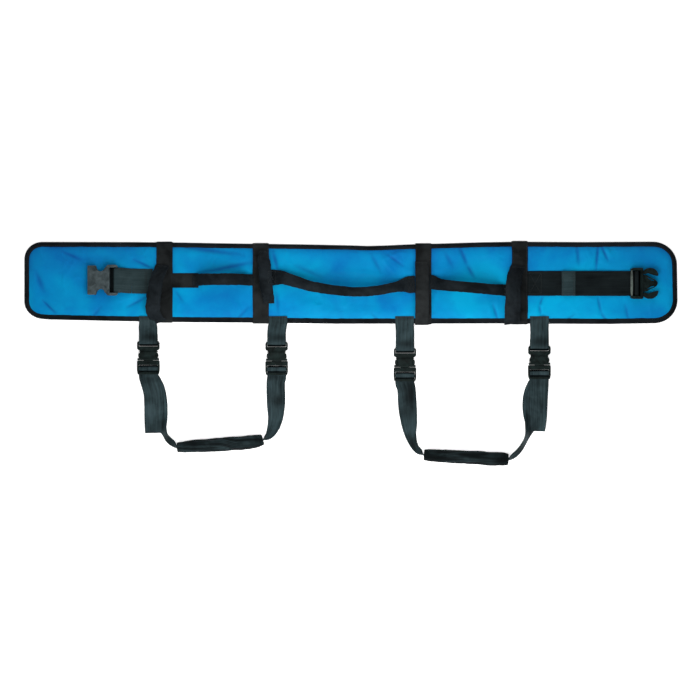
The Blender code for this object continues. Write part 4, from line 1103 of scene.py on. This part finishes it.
leg_strap(
    "right", 4, 3,
    [(373.4, -299.6, 10.4, 14.4), (373.8, -285, 8.4, 16.6), (374.4, -268, 6.2, 18.0),
     (375.8, -230, 3.9)],
    [(372, -208, 1.5), (364.5, -226, 1.5), (362, -248, 1.5), (362, -268, 3.0, 1, 0, -0.1, 17.5, WEB),
     (361.0, -281, 5.6, 0.95, 0, -0.3, 15.5, WEB),
     (357.5, -293, 9.4, 0.8, 0, -0.58, 13.5, WEB), (353.5, -306, 11.0, 0.6, 0.1, -0.78, 12.0, 0.8),
     (347, -321, 11.6, 0.42, -0.25, -0.87, 10.3, 1.0), (335, -339, 11.8, 0.48, -0.42, -0.77, 8.8, 1.2),
     (322, -350.5, SLEEVE_Z, 0.38, -0.55, -0.74, 7.4, 1.5)],
    [(137, -340, 11.8, 0.35, 0.65, -0.67, 8.0, 1.5), (130, -333.5, 11.6, 0.48, 0.5, -0.72, 9.8, 1.2),
     (125, -325, 11.2, 0.62, 0.3, -0.72, 12.0, 1.0), (121, -314, 9.8, 0.78, 0.12, -0.6, 13.4, 0.8),
     (118.4, -303, 7.9, 0.88, 0.05, -0.46, 14.4, WEB), (117, -292, 5.8, 0.95, 0, -0.28, 15.8, WEB),
     (116, -279, 3.4, 0.99, 0, -0.12, 17.0, WEB), (113.5, -255, 1.5), (110.5, -212, 1.4)],
    list(reversed(SLEEVES["right"])), -1)


def pleated(seed, turn, amount, tone, bias):
    """Fabric wrung a little round its foam, so that its folds run slantwise. tone collects their shade."""
    def shape(s, u, v, hw):
        around = atan2(v, -u)
        c, d = cos(around), sin(around)
        lay = around * 2.0 + turn * s + 1.6 * noise_at(s * 18.0, seed, 0.0)
        fold = (1.0 - abs(sin(lay))) ** 5
        broad = noise_at(s * 42.0, c * 1.1 + seed, d * 1.1)
        fine = noise_at(s * 130.0, c * 2.0 + seed, d * 2.0)
        streak = noise_at(s * 16.0 + seed, lay * 1.5, 2.0)
        tone.append(min(max(bias - 1.1 * streak - 0.3 * broad + 0.5 * fold, 0.08), 0.92))
        return amount * MM * (0.75 * broad + 0.3 * fine - 1.0 * fold + 0.2)
    return shape


def sleeve(tag, rows, seed, turn, belly, bias):
    """A padded sleeve, open at both ends, its fabric loose round the foam."""
    tone = []
    wrinkle = pleated(seed, turn, 1.7, tone, bias)
    full = []
    for x, y, hw, ht in rows:
        t = (x - rows[0][0]) / (rows[-1][0] - rows[0][0])
        full.append((x, y, SLEEVE_Z, 0, 1, 0, hw + 0.3 + belly * sin(pi * t) ** 0.8, min(ht, 9.9)))
    obj = sweep("leg_sleeve_cover_" + tag, full, TUBE, SLEEVE, FABRIC_STEP, shape=wrinkle, closed_ends=False)
    n = len(TUBE)
    co = coords(obj.data).reshape(-1, n, 3)
    count = len(co)
    centre = co.mean(axis=1, keepdims=True)
    # both mouths turn in and run back a little way inside
    rims = []
    for end, order in ((0, (1, 3)), (count - 1, (count - 2, count - 4))):
        for level, scale in zip((end,) + order, (0.86, 0.7, 0.66)):
            rims.append(centre[level] + (co[level] - centre[level]) * scale)
    verts = [tuple(v) for v in co.reshape(-1, 3)] + [tuple(v) for rim in rims for v in rim]
    faces = [list(p.vertices) for p in obj.data.polygons]
    base = count * n
    for which, end in ((0, 0), (3, count - 1)):
        chain = [end * n, base + which * n, base + (which + 1) * n, base + (which + 2) * n]
        for a, b in zip(chain, chain[1:]):
            for k in range(n):
                j = (k + 1) % n
                faces.append([a + k, a + j, b + j, b + k])
        faces.append([chain[-1] + k for k in range(n)])
    uvs = [(verts[v][0], verts[v][1] + verts[v][2]) for f in faces for v in f]
    bpy.data.objects.remove(obj, do_unlink=True)
    made = make("leg_sleeve_cover_" + tag, verts, faces, SLEEVE, uvs)
    fix_normals(made)
    # painted shade: darker in the pleats and dark inside both mouths
    store(made.data, "painted_dark", tone + [0.9] * (len(verts) - len(tone)))
    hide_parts("leg_sleeve_" + tag)
    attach(made, "leg_loop_" + tag)


# the last value sets how dark each sleeve is painted; the right one darker
sleeve("left", SLEEVES["left"], 3.0, 17.0, 1.6, 0.45)
sleeve("right", SLEEVES["right"], 8.0, -9.0, 0.4, 0.65)

# ---- buckles
# the waist plug's outer bar carries a painted highlight: its largest x, its middle y, its half width and its
# lowest z
BAR_X, BAR_Y, BAR_HALF, BAR_Z = 0.5631, -0.004, 0.0246, 0.0126
for name, node in NODES.items():
    if "buckle" in name or "prong" in name:
        node.data.materials.clear()
        node.data.materials.append(PALE_ACETAL if "waist_buckle_female" in node.name else PLASTIC)
        rim = node.modifiers.new("moulded_rims", "BEVEL")
        rim.width = 0.4 * MM
        rim.segments = 2
        rim.limit_method = "ANGLE"
        rim.angle_limit = radians(35)
        rim.use_clamp_overlap = True
        rim.harden_normals = True
    if name == "waist_buckle_male":
        node.data.materials.append(HIGHLIGHT_ACETAL)
        # faces of the outer bar take the painted highlight
        for face in node.data.polygons:
            at = node.matrix_world @ face.center
            if at.x < BAR_X and abs(at.y - BAR_Y) < BAR_HALF and at.z > BAR_Z:
                face.material_index = 1

# ---- studio
FLOOR_HALF, FLOOR_Z = 6.0, -0.0008
floor_mat, _, floor_shader = new_material("studio_floor", (0.93, 0.93, 0.93, 1.0), 0.9, Emission_Strength=0.5)
floor_shader.inputs["Emission Color"].default_value = (1, 1, 1, 1)
corners = [(x * FLOOR_HALF, y * FLOOR_HALF, FLOOR_Z) for x, y in ((-1, -1), (1, -1), (1, 1), (-1, 1))]
floor = make("studio_floor", corners, [[0, 1, 2, 3]], floor_mat, smooth=False)

world = bpy.data.worlds.new("studio")
bpy.context.scene.world = world
world.use_nodes = True
sky = world.node_tree.nodes["Background"]
sky.inputs["Color"].default_value = (1, 1, 1, 1)
sky.inputs["Strength"].default_value = 0.4


def area_light(name, at, towards, size, power):
    data = bpy.data.lights.new(name, "AREA")
    data.shape = "RECTANGLE"
    data.size, data.size_y = size
    data.energy = power
    obj = bpy.data.objects.new(name, data)
    bpy.context.scene.collection.objects.link(obj)
    obj.location = at
    obj.rotation_euler = (Vector(towards) - Vector(at)).to_track_quat("-Z", "Y").to_euler()


MIDDLE = (0, -0.1, 0)
area_light("key_low", (0.02, -0.56, 0.78), (0.02, 0.0, 0), (0.85, 0.85), 10.2)
area_light("fill_above", (0.2, 2.0, 1.6), MIDDLE, (2.4, 1.2), 14)
area_light("fill_left", (-2.4, -0.6, 1.4), MIDDLE, (1.4, 1.4), 8)
area_light("fill_right", (2.4, -1.0, 1.4), MIDDLE, (1.4, 1.4), 7)

camera_data = bpy.data.cameras.new("camera")
camera_data.lens = 85.0
camera_data.sensor_width = 36.0
camera = bpy.data.objects.new("camera", camera_data)
bpy.context.scene.collection.objects.link(camera)
camera.location = (-0.002, -0.137, 3.314)
camera.rotation_euler = (0.0, 0.0, 0.0)
bpy.context.scene.camera = camera
bpy.context.scene.view_settings.view_transform = "Standard"
